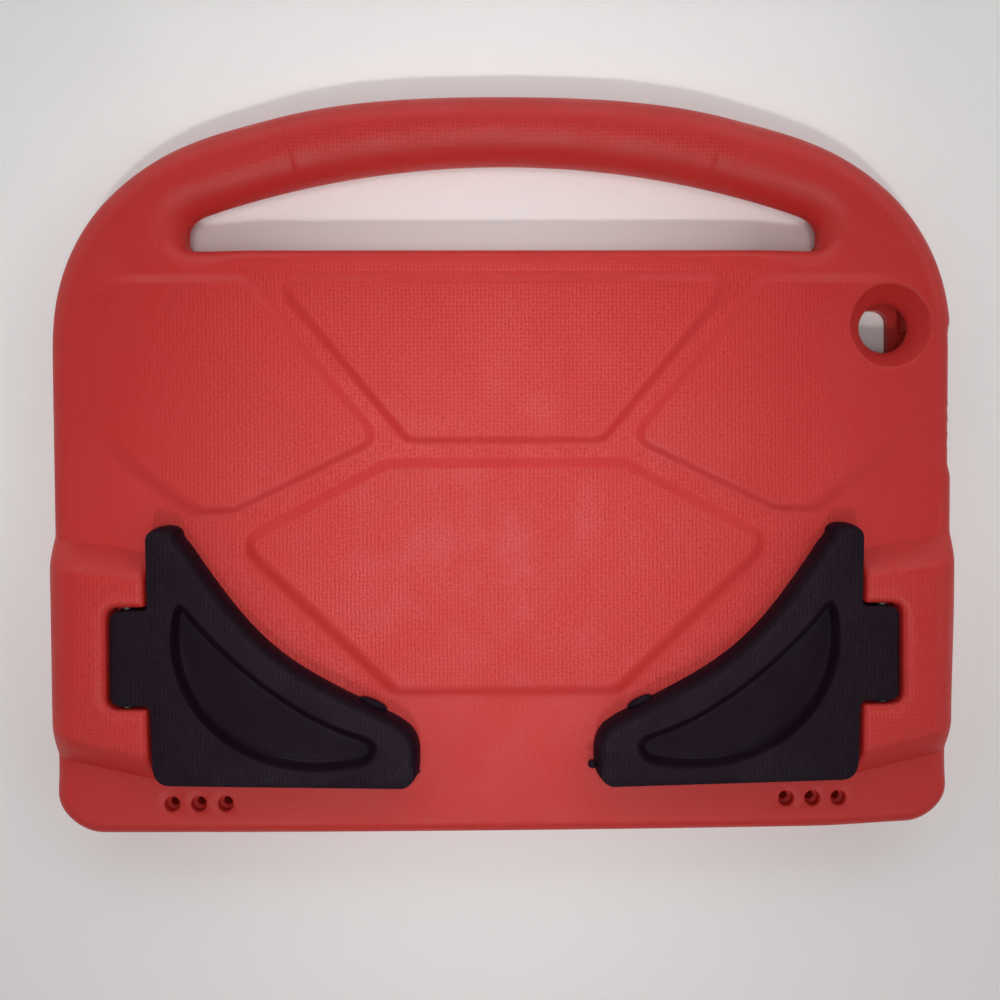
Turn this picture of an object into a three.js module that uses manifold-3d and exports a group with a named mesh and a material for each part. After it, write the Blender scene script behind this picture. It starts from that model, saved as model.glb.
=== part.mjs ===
// Padded tablet case with a carry handle and two folding stand feet.
// Units are millimetres. X runs across the case, Y up its height towards the handle, and Z is its
// thickness: the front lip lies on Z = 0 and the back of the case faces up.
// The origin is the bottom centre of the whole case's box.

import * as THREE from 'three';
import { mergeVertices } from 'three/addons/utils/BufferGeometryUtils.js';
import Module from 'manifold-3d';

const wasm = await Module();
wasm.setup();

// Tablet that the case is made for
const tabletWidth = 245.2;
const tabletHeight = 149.4;
const tabletThickness = 7.5;
const tabletClearance = 0.25;
const tabletCorner = 7;

// Walls, lip and outer form of the body
const sideWall = 10.85;
const topWall = 11.2;
const bottomWall = 11.1;
const backWall = 7.75;
const lipThickness = 3;
const lipOverlap = 5;
const windowCorner = 4;
const edgeRound = 4;
const bottomCorner = 13;
const bottomCrown = 0.65;
const lowerSideInset = 1.6;

// Handle and shoulders
const handleRise = 46.9;
const handleGrip = 20.2;
const handleDepth = 20.5;
const shoulderDrop = 76.3;
const shoulderPower = 2.48;
const openingHalfWidth = 93.9;
const openingCorner = 5.5;
const openingEndRise = 12.1;
const openingFoot = 2;
const openingCornerBend = 0.35;
const openingCornerRun = 1.2;
const handleSplay = 1.14;
const handleLap = 8;
const handleRun = 1.1;
const handleSquareFrom = 0.55;
const handleSquareTo = 0.92;
const handleSquareness = 5.5;
const handleInset = 0.3;
const handleSink = 0.1;

// Raised fields of the back
const fieldRise = 1.2;
const fieldChamfer = 3.3;
const topFieldWidth = 130;
const topFieldBase = 57.4;
const topFieldHeight = 43.6;
const topFieldMargin = 11.6;
const fieldGap = 9.7;
const hexTopWidth = 69;
const hexWidth = 150.6;
const hexBottomWidth = 63.4;
const hexShoulder = 21.8;
const hexHeight = 63.7;
const panelApexX = 39.8;
const panelApexDrop = 44.1;
const panelTopX = 77.6;
const panelFootX = 80;
const panelFootDrop = 63.9;
const panelFootWidth = 9;
const panelOuterX = 119.5;
const panelOuterDrop = 39.5;
const panelElbowX = 112;
const panelElbowDrop = 47.4;

// Camera funnel, measured from the tablet's corner
const cameraFromSide = 7.6;
const cameraFromTop = 11.6;
const funnelWidth = 24.2;
const funnelThroat = 15;
const throatLength = 0.9;

// Sound holes under the feet
const soundHoleWidth = 4.5;
const soundBoreWidth = 2.5;
const soundHoleDepth = 3.6;
const soundHoleSlope = 1;
const soundHolePitch = 7.8;
const soundHoleCount = 3;
const soundHoleMiddleX = 90.6;
const soundHoleBehindCavity = 2.2;
const soundDuctHeight = 3;

// Key and port slot in the wall on the camera's side
const slotLength = 38;
const slotTopFromCavity = 12.6;
const slotInset = 0.9;
const slotLipStep = 0.6;
const slotHollowRun = 5;

// Stand feet, measured from the hinge axis and the middle of the tab
const footThickness = 7.7;
const footSeatGap = 0.3;
const tabWidth = 27.9;
const tabReach = 4.6;
const tabCorner = 3.2;
const footShoulderTop = 5.95;
const footShoulderBottom = 7.6;
const footTipRise = 37.7;
const footTipWidth = 9.4;
const footTipRound = 4.6;
const footTipShare = 0.55;
const footTipNose = 3;
const footReach = 84.2;
const footDrop = 38.3;
const footHeelRise = 1.4;
const footHeelRound = 6;
const footSoftInset = 2.8;
const footCrispInset = 0.5;
const footRecessDepth = 4;

// Curves of a foot. Each point is a share of the foot's reach from the hinge axis, and a share of its
// rise above the tab's middle or, where negative, of its drop below. The section instead goes up
// through the foot's thickness, with the share of the edge's inset reached there.
const footEdge = [[0.206, 0.851], [0.456, 0.019], [0.527, -0.06], [0.919, -0.483]];
const footToe = [[0.959, -0.541], [0.995, -0.608], [1, -0.726]];
const footToeCorner = [[1, -0.843], [1, -0.948], [0.948, -1]];
const footSection = [[0, 0], [0.5, 0.16], [0.78, 0.42], [0.93, 0.72], [1, 1]];
const recessRim = {
  convexSide: [[0.178, 0.406], [0.081, -0.201], [0.33, -1.037], [0.817, -0.828]],
  toeEnd: [0.903, -0.679],
  concaveSide: [[0.822, -0.59], [0.639, -0.488], [0.401, -0.123], [0.221, 0.366]],
  tipEnd: [0.188, 0.443],
};
const recessFloor = {
  convexSide: [[0.182, 0.326], [0.14, -0.305], [0.354, -0.958], [0.803, -0.768]],
  toeEnd: [0.853, -0.695],
  concaveSide: [[0.8, -0.629], [0.632, -0.517], [0.394, -0.151], [0.211, 0.302]],
  tipEnd: [0.19, 0.355],
};

// Hinge
const hingeFromSide = 23.95;
const tabMiddleFromBottom = 53.9;
const pinWidth = 3;
const pinGrip = 6;
const pinClearance = 0.3;
const tabSideGap = 0.45;
const tabSwingGap = 0.35;
const blockSideGap = 0.45;
const blockChamfer = 2;

// Hinge blocks
const blockRound = 8;
const blockSideInset = 0.8;
const blockTopEdge = 26.7;
const blockTopSlope = 5.4;
const blockBottomEdge = 26.2;
const blockBottomSlope = 5.4;
const blockTopSkew = 0.23;
const blockBottomSkew = 0.24;
const blockSink = 5.5;

// How far a cut runs past the face that it opens
const overrun = 1;

// Levels through the thickness
const cavityFloor = lipThickness;
const cavityTop = cavityFloor + tabletThickness + tabletClearance;
const backLevel = cavityTop + backWall;
const footBottom = backLevel + footSeatGap;
const footTop = footBottom + footThickness;
const hingeZ = footBottom + footThickness / 2;

// Places across and up the case
const cavityHalfWidth = tabletWidth / 2 + tabletClearance;
const cavityHalfHeight = tabletHeight / 2 + tabletClearance;
const halfWidth = cavityHalfWidth + sideWall;
const lowerHalfWidth = halfWidth - lowerSideInset;
const bodyHeight = bottomWall + 2 * cavityHalfHeight + topWall + bottomCrown;
const bottomY = -(bodyHeight + handleRise) / 2;
const bodyTopY = bottomY + bodyHeight;
const handleTopY = bodyTopY + handleRise;
const cavityCentreY = bodyTopY - topWall - cavityHalfHeight;
const shoulderY = handleTopY - shoulderDrop;
const hingeX = halfWidth - hingeFromSide;
const tabY = bottomY + tabMiddleFromBottom;

// Materials
const redFoam = new THREE.MeshStandardMaterial({ color: 0xc93b34, roughness: 0.75, metalness: 0 });
const blackFoam = new THREE.MeshStandardMaterial({ color: 0x231e23, roughness: 0.7, metalness: 0 });
const pinSteel = new THREE.MeshStandardMaterial({ color: 0xb4b6ba, roughness: 0.35, metalness: 1 });

// Turns a closed geometry into a solid that can be joined and cut
function solidOf(geometry) {
  const bare = geometry.index ? geometry.toNonIndexed() : geometry.clone();
  bare.deleteAttribute('normal');
  bare.deleteAttribute('uv');
  const merged = mergeVertices(bare, 1e-4);
  return new wasm.Manifold(new wasm.Mesh({
    numProp: 3,
    vertProperties: new Float32Array(merged.attributes.position.array),
    triVerts: new Uint32Array(merged.index.array),
  }));
}

// Turns a solid back into a named mesh
function meshOf(name, solid, material) {
  const result = solid.getMesh();
  const geometry = new THREE.BufferGeometry();
  geometry.setAttribute('position', new THREE.BufferAttribute(result.vertProperties, 3));
  geometry.setIndex(new THREE.BufferAttribute(result.triVerts, 1));
  geometry.computeVertexNormals();
  const mesh = new THREE.Mesh(geometry, material);
  mesh.name = name;
  return mesh;
}

// Straight prism of a plan shape between two levels
function prism(shape, low, high) {
  const geometry = new THREE.ExtrudeGeometry(shape, {
    depth: high - low,
    bevelEnabled: false,
    curveSegments: 6,
  });
  geometry.translate(0, 0, low);
  return solidOf(geometry);
}

// Closed skin over a stack of rings that all have the same number of points
function loft(rings) {
  const count = rings[0].length;
  const positions = rings.flat().flatMap((point) => [point.x, point.y, point.z]);
  const faces = [];
  for (let level = 0; level + 1 < rings.length; level += 1) {
    for (let i = 0; i < count; i += 1) {
      const a = level * count + i;
      const b = level * count + ((i + 1) % count);
      faces.push(a, b, b + count, a, b + count, a + count);
    }
  }
  const last = (rings.length - 1) * count;
  for (const [start, flip] of [[0, true], [last, false]]) {
    const ring = rings[start / count];
    for (const [p, q, r] of capTriangles(ring)) {
      faces.push(start + p, start + (flip ? r : q), start + (flip ? q : r));
    }
  }
  const geometry = new THREE.BufferGeometry();
  geometry.setAttribute('position', new THREE.Float32BufferAttribute(positions, 3));
  geometry.setIndex(faces);
  return solidOf(facingOut(geometry));
}

// Fills a flat ring with triangles, each turned the same way round as the ring
function capTriangles(ring) {
  const middle = new THREE.Vector3();
  for (const point of ring) {
    middle.addScaledVector(point, 1 / ring.length);
  }
  const across = ring[0].clone().sub(middle).normalize();
  const normal = new THREE.Vector3();
  ring.forEach((point, i) => {
    const next = ring[(i + 1) % ring.length];
    normal.add(point.clone().sub(middle).cross(next.clone().sub(middle)));
  });
  normal.normalize();
  const up = normal.clone().cross(across);
  const flat = ring.map((point) => {
    const offset = point.clone().sub(middle);
    return new THREE.Vector2(offset.dot(across), offset.dot(up));
  });
  return THREE.ShapeUtils.triangulateShape(flat, []);
}

// Turns every face round if the geometry's volume comes out negative
function facingOut(geometry) {
  const position = geometry.attributes.position;
  const index = geometry.index.array;
  const corners = [new THREE.Vector3(), new THREE.Vector3(), new THREE.Vector3()];
  let volume = 0;
  for (let i = 0; i < index.length; i += 3) {
    corners.forEach((corner, k) => corner.fromBufferAttribute(position, index[i + k]));
    volume += corners[0].dot(corners[1].clone().cross(corners[2]));
  }
  if (volume < 0) {
    for (let i = 0; i < index.length; i += 3) {
      [index[i + 1], index[i + 2]] = [index[i + 2], index[i + 1]];
    }
  }
  return geometry;
}

// Level ring of plan points
function ringAt(points, z) {
  return points.map((point) => new THREE.Vector3(point.x, point.y, z));
}

// Rectangle with round corners, centred on X = 0 at a height
function roundedRectangle(y, half, halfHigh, radius) {
  const shape = new THREE.Shape();
  shape.moveTo(-half + radius, y - halfHigh);
  shape.lineTo(half - radius, y - halfHigh);
  shape.absarc(half - radius, y - halfHigh + radius, radius, -Math.PI / 2, 0, false);
  shape.absarc(half - radius, y + halfHigh - radius, radius, 0, Math.PI / 2, false);
  shape.absarc(-half + radius, y + halfHigh - radius, radius, Math.PI / 2, Math.PI, false);
  shape.absarc(-half + radius, y - halfHigh + radius, radius, Math.PI, 1.5 * Math.PI, false);
  return shape;
}

// Polygon from [x, y] corners, mirrored to the other side of the case where side is -1
function polygon(corners, side = 1) {
  return new THREE.Shape(corners.map(([x, y]) => new THREE.Vector2(side * x, y)));
}

// Height of the outer shoulder curve above the shoulder's level, at a distance from the middle
function shoulderHeight(x) {
  const share = Math.min(1, Math.abs(x) / halfWidth);
  return shoulderY + shoulderDrop * (1 - share ** shoulderPower) ** (1 / shoulderPower);
}

// Half width of the body at a height, below the shoulders
function sideAt(y) {
  const lowest = bottomY + bottomCrown + bottomCorner;
  const share = (shoulderY - y) / (shoulderY - lowest);
  return halfWidth - lowerSideInset * share;
}

// Arc of the handle opening's upper edge
const openingTopY = handleTopY - handleGrip;
const openingSpringX = openingHalfWidth - openingCorner;
const openingSpringY = bodyTopY + openingEndRise;
const openingArcRise = openingTopY - openingSpringY;
const openingRadius = (openingSpringX ** 2 + openingArcRise ** 2) / (2 * openingArcRise);

function openingArcY(x) {
  return openingTopY - openingRadius + Math.sqrt(openingRadius ** 2 - x ** 2);
}

// Plan of the body and its shoulders up to where the round handle starts
function bodyOutline() {
  const half = [];
  const lowY = bottomY + bottomCrown;
  const cornerSteps = 6;
  for (let i = 0; i <= cornerSteps; i += 1) {
    const angle = -Math.PI / 2 + (i / cornerSteps) * (Math.PI / 2);
    const x = lowerHalfWidth + bottomCorner * (Math.cos(angle) - 1);
    half.push([x, lowY + bottomCorner * (1 + Math.sin(angle))]);
  }
  const shoulderEndX = openingSpringX * handleSplay;
  const shoulderSteps = 16;
  for (let i = 0; i <= shoulderSteps; i += 1) {
    const angle = (i / shoulderSteps) * (Math.PI / 2);
    const x = shoulderEndX + (halfWidth - shoulderEndX) * Math.cos(angle);
    half.push([x, shoulderHeight(x)]);
  }
  const handleEndX = openingSpringX - handleLap;
  half.push([handleEndX * handleSplay, shoulderHeight(handleEndX * handleSplay)]);
  half.push([handleEndX, openingArcY(handleEndX)]);
  const corner = new THREE.QuadraticBezierCurve(
    new THREE.Vector2(openingSpringX, openingArcY(openingSpringX)),
    new THREE.Vector2(openingHalfWidth, openingSpringY - openingCornerBend * openingCorner),
    new THREE.Vector2(openingHalfWidth, openingSpringY - openingCornerRun * openingCorner),
  );
  for (const point of corner.getPoints(cornerSteps)) {
    half.push([point.x, point.y]);
  }
  half.push([openingHalfWidth, bodyTopY + openingFoot]);
  half.push([openingHalfWidth - openingFoot, bodyTopY]);
  const left = half.map(([x, y]) => [-x, y]).reverse();
  const bottom = [];
  const bottomHalf = lowerHalfWidth - bottomCorner;
  const bottomSteps = 8;
  for (let i = 1; i < bottomSteps; i += 1) {
    const share = -1 + (2 * i) / bottomSteps;
    bottom.push([bottomHalf * share, lowY - bottomCrown * (1 - share ** 2)]);
  }
  return polygon([...bottom, ...half, ...left]);
}

// Body plate with rounded edges all round
function bodyPlate() {
  const geometry = new THREE.ExtrudeGeometry(bodyOutline(), {
    depth: backLevel - 2 * edgeRound,
    bevelThickness: edgeRound,
    bevelSize: edgeRound,
    bevelOffset: -edgeRound,
    bevelSegments: 3,
  });
  geometry.translate(0, 0, edgeRound);
  return solidOf(geometry);
}

// Round grip of the handle, which turns into the flat section of the shoulders at its ends
function handleBar() {
  const stations = 40;
  const ringPoints = 28;
  const rings = [];
  for (let i = 0; i <= stations; i += 1) {
    const along = handleRun * (-1 + (2 * i) / stations);
    const inside = THREE.MathUtils.clamp(along, -1, 1);
    const innerX = openingSpringX * inside;
    const outerX = innerX * handleSplay;
    const inner = new THREE.Vector2(innerX, openingArcY(innerX));
    const outer = new THREE.Vector2(outerX, shoulderHeight(outerX));
    const across = outer.clone().sub(inner).normalize();
    const past = (along - inside) * openingSpringX;
    const shift = new THREE.Vector2(across.y, -across.x).multiplyScalar(past);
    const blend = THREE.MathUtils.smoothstep(Math.abs(along), handleSquareFrom, handleSquareTo);
    const power = THREE.MathUtils.lerp(2, handleSquareness, blend);
    const grip = inner.distanceTo(outer) / 2 - handleInset * blend;
    const halfDeep = THREE.MathUtils.lerp(handleDepth, backLevel - 2 * handleSink, blend) / 2;
    const middle = inner.clone().add(outer).divideScalar(2).add(shift);
    const middleZ = halfDeep + handleSink * blend;
    const ring = [];
    for (let k = 0; k < ringPoints; k += 1) {
      const angle = (k / ringPoints) * 2 * Math.PI;
      const cos = Math.cos(angle);
      const sin = Math.sin(angle);
      const wide = grip * Math.sign(cos) * Math.abs(cos) ** (2 / power);
      const deep = halfDeep * Math.sign(sin) * Math.abs(sin) ** (2 / power);
      const x = middle.x + across.x * wide;
      const y = middle.y + across.y * wide;
      ring.push(new THREE.Vector3(x, y, middleZ + deep));
    }
    rings.push(ring);
  }
  return loft(rings);
}

// Raised field with sloping edges, from the corners of its flat top
function field(corners, side = 1) {
  const geometry = new THREE.ExtrudeGeometry(polygon(corners, side), {
    depth: fieldRise,
    bevelThickness: fieldRise,
    bevelSize: fieldChamfer,
    bevelSegments: 1,
  });
  geometry.translate(0, 0, backLevel - fieldRise);
  return solidOf(geometry);
}

// The four raised fields: one above, one six-sided in the middle and one at each side
function backFields() {
  const topY = bodyTopY - topFieldMargin;
  const topBaseY = topY - topFieldHeight;
  const hexTopY = topBaseY - fieldGap;
  const topField = [
    [-topFieldBase / 2, topBaseY],
    [topFieldBase / 2, topBaseY],
    [topFieldWidth / 2, topY],
    [-topFieldWidth / 2, topY],
  ];
  const hexField = [
    [-hexBottomWidth / 2, hexTopY - hexHeight],
    [hexBottomWidth / 2, hexTopY - hexHeight],
    [hexWidth / 2, hexTopY - hexShoulder],
    [hexTopWidth / 2, hexTopY],
    [-hexTopWidth / 2, hexTopY],
    [-hexWidth / 2, hexTopY - hexShoulder],
  ];
  const panel = [
    [panelApexX, topY - panelApexDrop],
    [panelFootX, topY - panelFootDrop],
    [panelFootX + panelFootWidth, topY - panelFootDrop],
    [panelElbowX, topY - panelElbowDrop],
    [panelOuterX, topY - panelOuterDrop],
    [panelOuterX, topY],
    [panelTopX, topY],
  ];
  return [field(topField), field(hexField), field(panel, 1), field(panel, -1)];
}

// Upper and lower edge of a hinge block's top at a distance from the middle
function blockUpperEdge(x) {
  return tabY + blockTopEdge + blockTopSkew * (x - (hingeX + halfWidth) / 2);
}

function blockLowerEdge(x) {
  return tabY - blockBottomEdge + blockBottomSkew * (x - (hingeX + halfWidth) / 2);
}

// Inner face of a hinge block, which follows the foot's straight side
function blockFaceAt(y) {
  return hingeX - footShoulderAt(y - tabY) + blockSideGap;
}

// Hinge block that stands on the back beside a foot, with a rounded outer edge and sloping ends
function hingeBlock(side) {
  const levels = [[-blockSink, 0], [0, 0]];
  const arcSteps = 6;
  for (let i = 1; i <= arcSteps; i += 1) {
    const angle = (i / arcSteps) * (Math.PI / 2);
    levels.push([blockRound * Math.sin(angle), blockRound * (1 - Math.cos(angle))]);
  }
  const height = footTop - backLevel;
  const rings = levels.map(([rise, inset]) => {
    const share = 1 - Math.max(0, rise) / blockRound;
    const upperOut = blockTopSlope * share;
    const lowerOut = blockBottomSlope * share;
    const cut = Math.max(0, blockChamfer - (blockRound - rise));
    const outerTop = sideAt(tabY + blockTopEdge) - blockSideInset - inset;
    const outerBottom = sideAt(tabY - blockBottomEdge) - blockSideInset - inset;
    const innerTop = blockFaceAt(tabY + blockTopEdge) + cut;
    const innerBottom = blockFaceAt(tabY - blockBottomEdge) + cut;
    const corners = [
      new THREE.Vector2(side * innerTop, blockUpperEdge(innerTop) + upperOut),
      new THREE.Vector2(side * outerTop, blockUpperEdge(outerTop) + upperOut),
      new THREE.Vector2(side * outerBottom, blockLowerEdge(outerBottom) - lowerOut),
      new THREE.Vector2(side * innerBottom, blockLowerEdge(innerBottom) - lowerOut),
    ];
    return ringAt(corners, backLevel + (rise * height) / blockRound);
  });
  return loft(rings);
}

// Room for a foot's tab to lie and to swing in its block
function tabNotch(side) {
  const swing = tabSwing() + tabSwingGap;
  const wide = tabWidth / 2 + tabSideGap;
  const inner = hingeX - footShoulderBottom - overrun;
  const outer = hingeX + swing;
  const radius = tabCorner;
  const shape = new THREE.Shape();
  shape.moveTo(side * inner, tabY - wide);
  shape.lineTo(side * (outer - radius), tabY - wide);
  shape.quadraticCurveTo(side * outer, tabY - wide, side * outer, tabY - wide + radius);
  shape.lineTo(side * outer, tabY + wide - radius);
  shape.quadraticCurveTo(side * outer, tabY + wide, side * (outer - radius), tabY + wide);
  shape.lineTo(side * inner, tabY + wide);
  return prism(shape, hingeZ - swing, footTop + overrun);
}

// Greatest distance of the tab's rounded end from the hinge axis
function tabSwing() {
  return Math.hypot(tabReach - tabCorner, footThickness / 2 - tabCorner) + tabCorner;
}

// Rod along Y at a hinge axis
function rod(side, diameter, length, sides) {
  const geometry = new THREE.CylinderGeometry(diameter / 2, diameter / 2, length, sides);
  geometry.translate(side * hingeX, tabY, hingeZ);
  return solidOf(geometry);
}

// Upright bore with its own radius at each level
function turnedBore(x, y, profile, sides) {
  const points = profile.map(([radius, z]) => new THREE.Vector2(radius, z));
  const foot = new THREE.Vector2(0, points[0].y);
  const head = new THREE.Vector2(0, points[points.length - 1].y);
  const geometry = new THREE.LatheGeometry([foot, ...points, head], sides);
  geometry.rotateX(Math.PI / 2);
  geometry.translate(x, y, 0);
  return solidOf(geometry);
}

// Camera hole that widens towards the back
function cameraFunnel() {
  const x = tabletWidth / 2 - cameraFromSide;
  const y = cavityCentreY + tabletHeight / 2 - cameraFromTop;
  const throatTop = cavityTop + throatLength;
  const spread = (funnelWidth - funnelThroat) / 2 / (backLevel - throatTop);
  const above = backLevel + fieldRise + overrun;
  return turnedBore(x, y, [
    [funnelThroat / 2, cavityTop - overrun],
    [funnelThroat / 2, throatTop],
    [funnelThroat / 2 + spread * (above - throatTop), above],
  ], 40);
}

// Stepped sound holes of one side, each with a duct to the cavity
function soundHoles(side) {
  const cavityEdge = cavityCentreY - cavityHalfHeight;
  const y = cavityEdge - soundHoleBehindCavity;
  const ductZ = (cavityFloor + cavityTop) / 2;
  const cuts = [];
  for (let i = 0; i < soundHoleCount; i += 1) {
    const x = side * (soundHoleMiddleX + (i - (soundHoleCount - 1) / 2) * soundHolePitch);
    cuts.push(turnedBore(x, y, [
      [soundBoreWidth / 2, ductZ],
      [soundBoreWidth / 2, backLevel - soundHoleDepth],
      [soundHoleWidth / 2, backLevel - soundHoleDepth + soundHoleSlope],
      [soundHoleWidth / 2, backLevel + overrun],
    ], 14));
    const ductLength = soundHoleBehindCavity + overrun;
    const duct = new THREE.BoxGeometry(soundBoreWidth, ductLength, soundDuctHeight);
    duct.translate(x, cavityEdge + (overrun - soundHoleBehindCavity) / 2, ductZ);
    cuts.push(solidOf(duct));
  }
  return cuts;
}

// Key and port slot, and the shallow hollow that it leaves along the outer side
function sideSlot() {
  const top = cavityCentreY + cavityHalfHeight - slotTopFromCavity;
  const bottom = top - slotLength;
  const slotHeight = cavityTop - cavityFloor - 2 * slotLipStep;
  const through = new THREE.BoxGeometry(2 * sideWall, slotLength, slotHeight);
  through.translate(cavityHalfWidth + sideWall / 2, (top + bottom) / 2, (cavityTop + cavityFloor) / 2);
  const slope = slotHollowRun / slotInset;
  const hollow = polygon([
    [halfWidth + overrun, bottom - slotHollowRun - slope * overrun],
    [halfWidth + overrun, top + slotHollowRun + slope * overrun],
    [halfWidth, top + slotHollowRun],
    [halfWidth - slotInset, top],
    [sideAt(bottom) - slotInset, bottom],
    [sideAt(bottom), bottom - slotHollowRun],
  ]);
  return [solidOf(through), prism(hollow, -overrun, backLevel + overrun)];
}

// Distance of the foot's straight side from the hinge axis, at a height above the tab's middle
function footShoulderAt(v) {
  const share = (footTipRise - v) / (footTipRise + footDrop);
  return THREE.MathUtils.lerp(footShoulderTop, footShoulderBottom, share);
}

// Point of a foot from its shares of the reach and of the rise or drop
function footPoint([across, up]) {
  return new THREE.Vector2(across * footReach, up * (up > 0 ? footTipRise : footDrop));
}

// Outline of a foot as { u, v, inset }: u from the hinge axis towards the middle, v up from the
// tab's middle, and inset how far the top edge stands back from the bottom edge
function footOutline() {
  const soft = footSoftInset;
  const crisp = footCrispInset;
  const half = tabWidth / 2;
  const trace = [];
  const add = (curve, divisions, from, to) => {
    curve.getPoints(divisions).forEach((point, i) => {
      trace.push({ u: point.x, v: point.y, inset: THREE.MathUtils.lerp(from, to, i / divisions) });
    });
  };
  const bend = (a, b, c) => new THREE.QuadraticBezierCurve(
    new THREE.Vector2(...a),
    new THREE.Vector2(...b),
    new THREE.Vector2(...c),
  );
  const tipTop = footTipRise;
  const tipOuter = footShoulderTop;
  const tipMiddle = tipOuter + footTipShare * footTipWidth;
  const tipInner = tipOuter + footTipWidth;
  const heel = footShoulderAt(-footDrop + footHeelRound);
  const end = -tabReach;
  add(bend([end, half - tabCorner], [end, half], [end + tabCorner, half]), 3, crisp, crisp);
  trace.push({ u: footShoulderAt(half), v: half, inset: crisp });
  add(bend([tipOuter, tipTop - footTipRound], [tipOuter, tipTop], [tipMiddle, tipTop]), 4, crisp, soft);
  add(bend([tipMiddle, tipTop], [tipInner, tipTop], [tipInner, tipTop - footTipNose]), 3, soft, soft);
  add(new THREE.CubicBezierCurve(...footEdge.map(footPoint)), 14, soft, soft);
  add(new THREE.QuadraticBezierCurve(...footToe.map(footPoint)), 4, soft, soft);
  add(new THREE.QuadraticBezierCurve(...footToeCorner.map(footPoint)), 4, soft, crisp);
  add(bend(
    [heel + footHeelRound, -footDrop + footHeelRise],
    [heel, -footDrop + footHeelRise],
    [heel, -footDrop + footHeelRise + footHeelRound],
  ), 4, crisp, crisp);
  trace.push({ u: footShoulderAt(-half), v: -half, inset: crisp });
  add(bend([end + tabCorner, -half], [end, -half], [end, -half + tabCorner]), 3, crisp, crisp);
  return trace;
}

// Plan points of a trace, moved inwards by a share of each point's inset
function insetPoints(trace, share, side) {
  const count = trace.length;
  return trace.map((point, i) => {
    const before = trace[(i + count - 1) % count];
    const after = trace[(i + 1) % count];
    const run = new THREE.Vector2(after.u - before.u, after.v - before.v).normalize();
    const u = point.u + run.y * point.inset * share;
    const v = point.v - run.x * point.inset * share;
    return new THREE.Vector2(side * (hingeX - u), tabY + v);
  });
}

// Crescent ring from its two long sides and the bends at its ends
function crescent(side, z, shape) {
  const at = (shares) => {
    const point = footPoint(shares);
    return new THREE.Vector2(side * (hingeX - point.x), tabY + point.y);
  };
  const { convexSide, toeEnd, concaveSide, tipEnd } = shape;
  const toeLow = convexSide[convexSide.length - 1];
  const tipInner = concaveSide[concaveSide.length - 1];
  const curves = [
    [new THREE.CubicBezierCurve(...convexSide.map(at)), 14],
    [new THREE.QuadraticBezierCurve(at(toeLow), at(toeEnd), at(concaveSide[0])), 5],
    [new THREE.CubicBezierCurve(...concaveSide.map(at)), 10],
    [new THREE.QuadraticBezierCurve(at(tipInner), at(tipEnd), at(convexSide[0])), 3],
  ];
  return ringAt(curves.flatMap(([curve, divisions]) => curve.getPoints(divisions).slice(0, -1)), z);
}

// Hollow in a foot's top face, drafted on its convex side
function footRecess(side) {
  return loft([
    crescent(side, footTop + overrun, recessRim),
    crescent(side, footTop, recessRim),
    crescent(side, footTop - footRecessDepth, recessFloor),
  ]);
}

// Stand foot: drafted and rounded towards its visible edges, hollowed on top, bored for its pin
function standFoot(side) {
  const trace = footOutline();
  const block = loft(footSection.map(([rise, share]) => (
    ringAt(insetPoints(trace, share, side), footBottom + rise * footThickness)
  )));
  const bore = rod(side, pinWidth + 2 * pinClearance, 2 * tabWidth, 16);
  return block.intersect(tabRounding(side)).subtract(footRecess(side)).subtract(bore);
}

// Section along the hinge axis that rounds the outer end of the tab
function tabRounding(side) {
  const far = footReach + overrun;
  const end = -tabReach;
  const half = footThickness / 2;
  const round = tabCorner;
  const section = new THREE.Shape();
  const x = (u) => side * (hingeX - u);
  section.moveTo(x(far), -half);
  section.lineTo(x(end + round), -half);
  section.quadraticCurveTo(x(end), -half, x(end), -half + round);
  section.lineTo(x(end), half - round);
  section.quadraticCurveTo(x(end), half, x(end + round), half);
  section.lineTo(x(far), half);
  const length = 2 * (footTipRise + footDrop);
  const geometry = new THREE.ExtrudeGeometry(section, {
    depth: length,
    bevelEnabled: false,
    curveSegments: 4,
  });
  geometry.rotateX(Math.PI / 2);
  geometry.translate(0, tabY + length / 2, hingeZ);
  return solidOf(geometry);
}

// One-piece foam body with everything that is moulded or cut into it
function foamBody() {
  const windowHalfWidth = cavityHalfWidth - lipOverlap;
  const windowHalfHeight = cavityHalfHeight - lipOverlap;
  const pinLength = tabWidth + 2 * pinGrip;
  let body = bodyPlate().add(handleBar());
  const raised = [...backFields(), hingeBlock(1), hingeBlock(-1)];
  for (const solid of raised) {
    body = body.add(solid);
  }
  const cavity = roundedRectangle(cavityCentreY, cavityHalfWidth, cavityHalfHeight, tabletCorner);
  const screen = roundedRectangle(cavityCentreY, windowHalfWidth, windowHalfHeight, windowCorner);
  const cuts = [
    prism(cavity, cavityFloor, cavityTop),
    prism(screen, -overrun, cavityFloor + overrun),
    cameraFunnel(),
    ...sideSlot(),
  ];
  for (const side of [-1, 1]) {
    cuts.push(...soundHoles(side));
    cuts.push(tabNotch(side));
    cuts.push(rod(side, pinWidth + 2 * pinClearance, pinLength + 2 * pinClearance, 16));
  }
  for (const solid of cuts) {
    body = body.subtract(solid);
  }
  return body;
}

const group = new THREE.Group();
group.add(meshOf('foam_body', foamBody(), redFoam));
group.add(meshOf('left_stand_foot', standFoot(-1), blackFoam));
group.add(meshOf('right_stand_foot', standFoot(1), blackFoam));
group.add(meshOf('left_hinge_pin', rod(-1, pinWidth, tabWidth + 2 * pinGrip, 16), pinSteel));
group.add(meshOf('right_hinge_pin', rod(1, pinWidth, tabWidth + 2 * pinGrip, 16), pinSteel));

export default group;
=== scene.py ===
"""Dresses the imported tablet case.

Sizes are in millimetres until a mesh is made, in the case's own frame: X across, Y up towards the
handle, Z out of the back."""

import math

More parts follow.
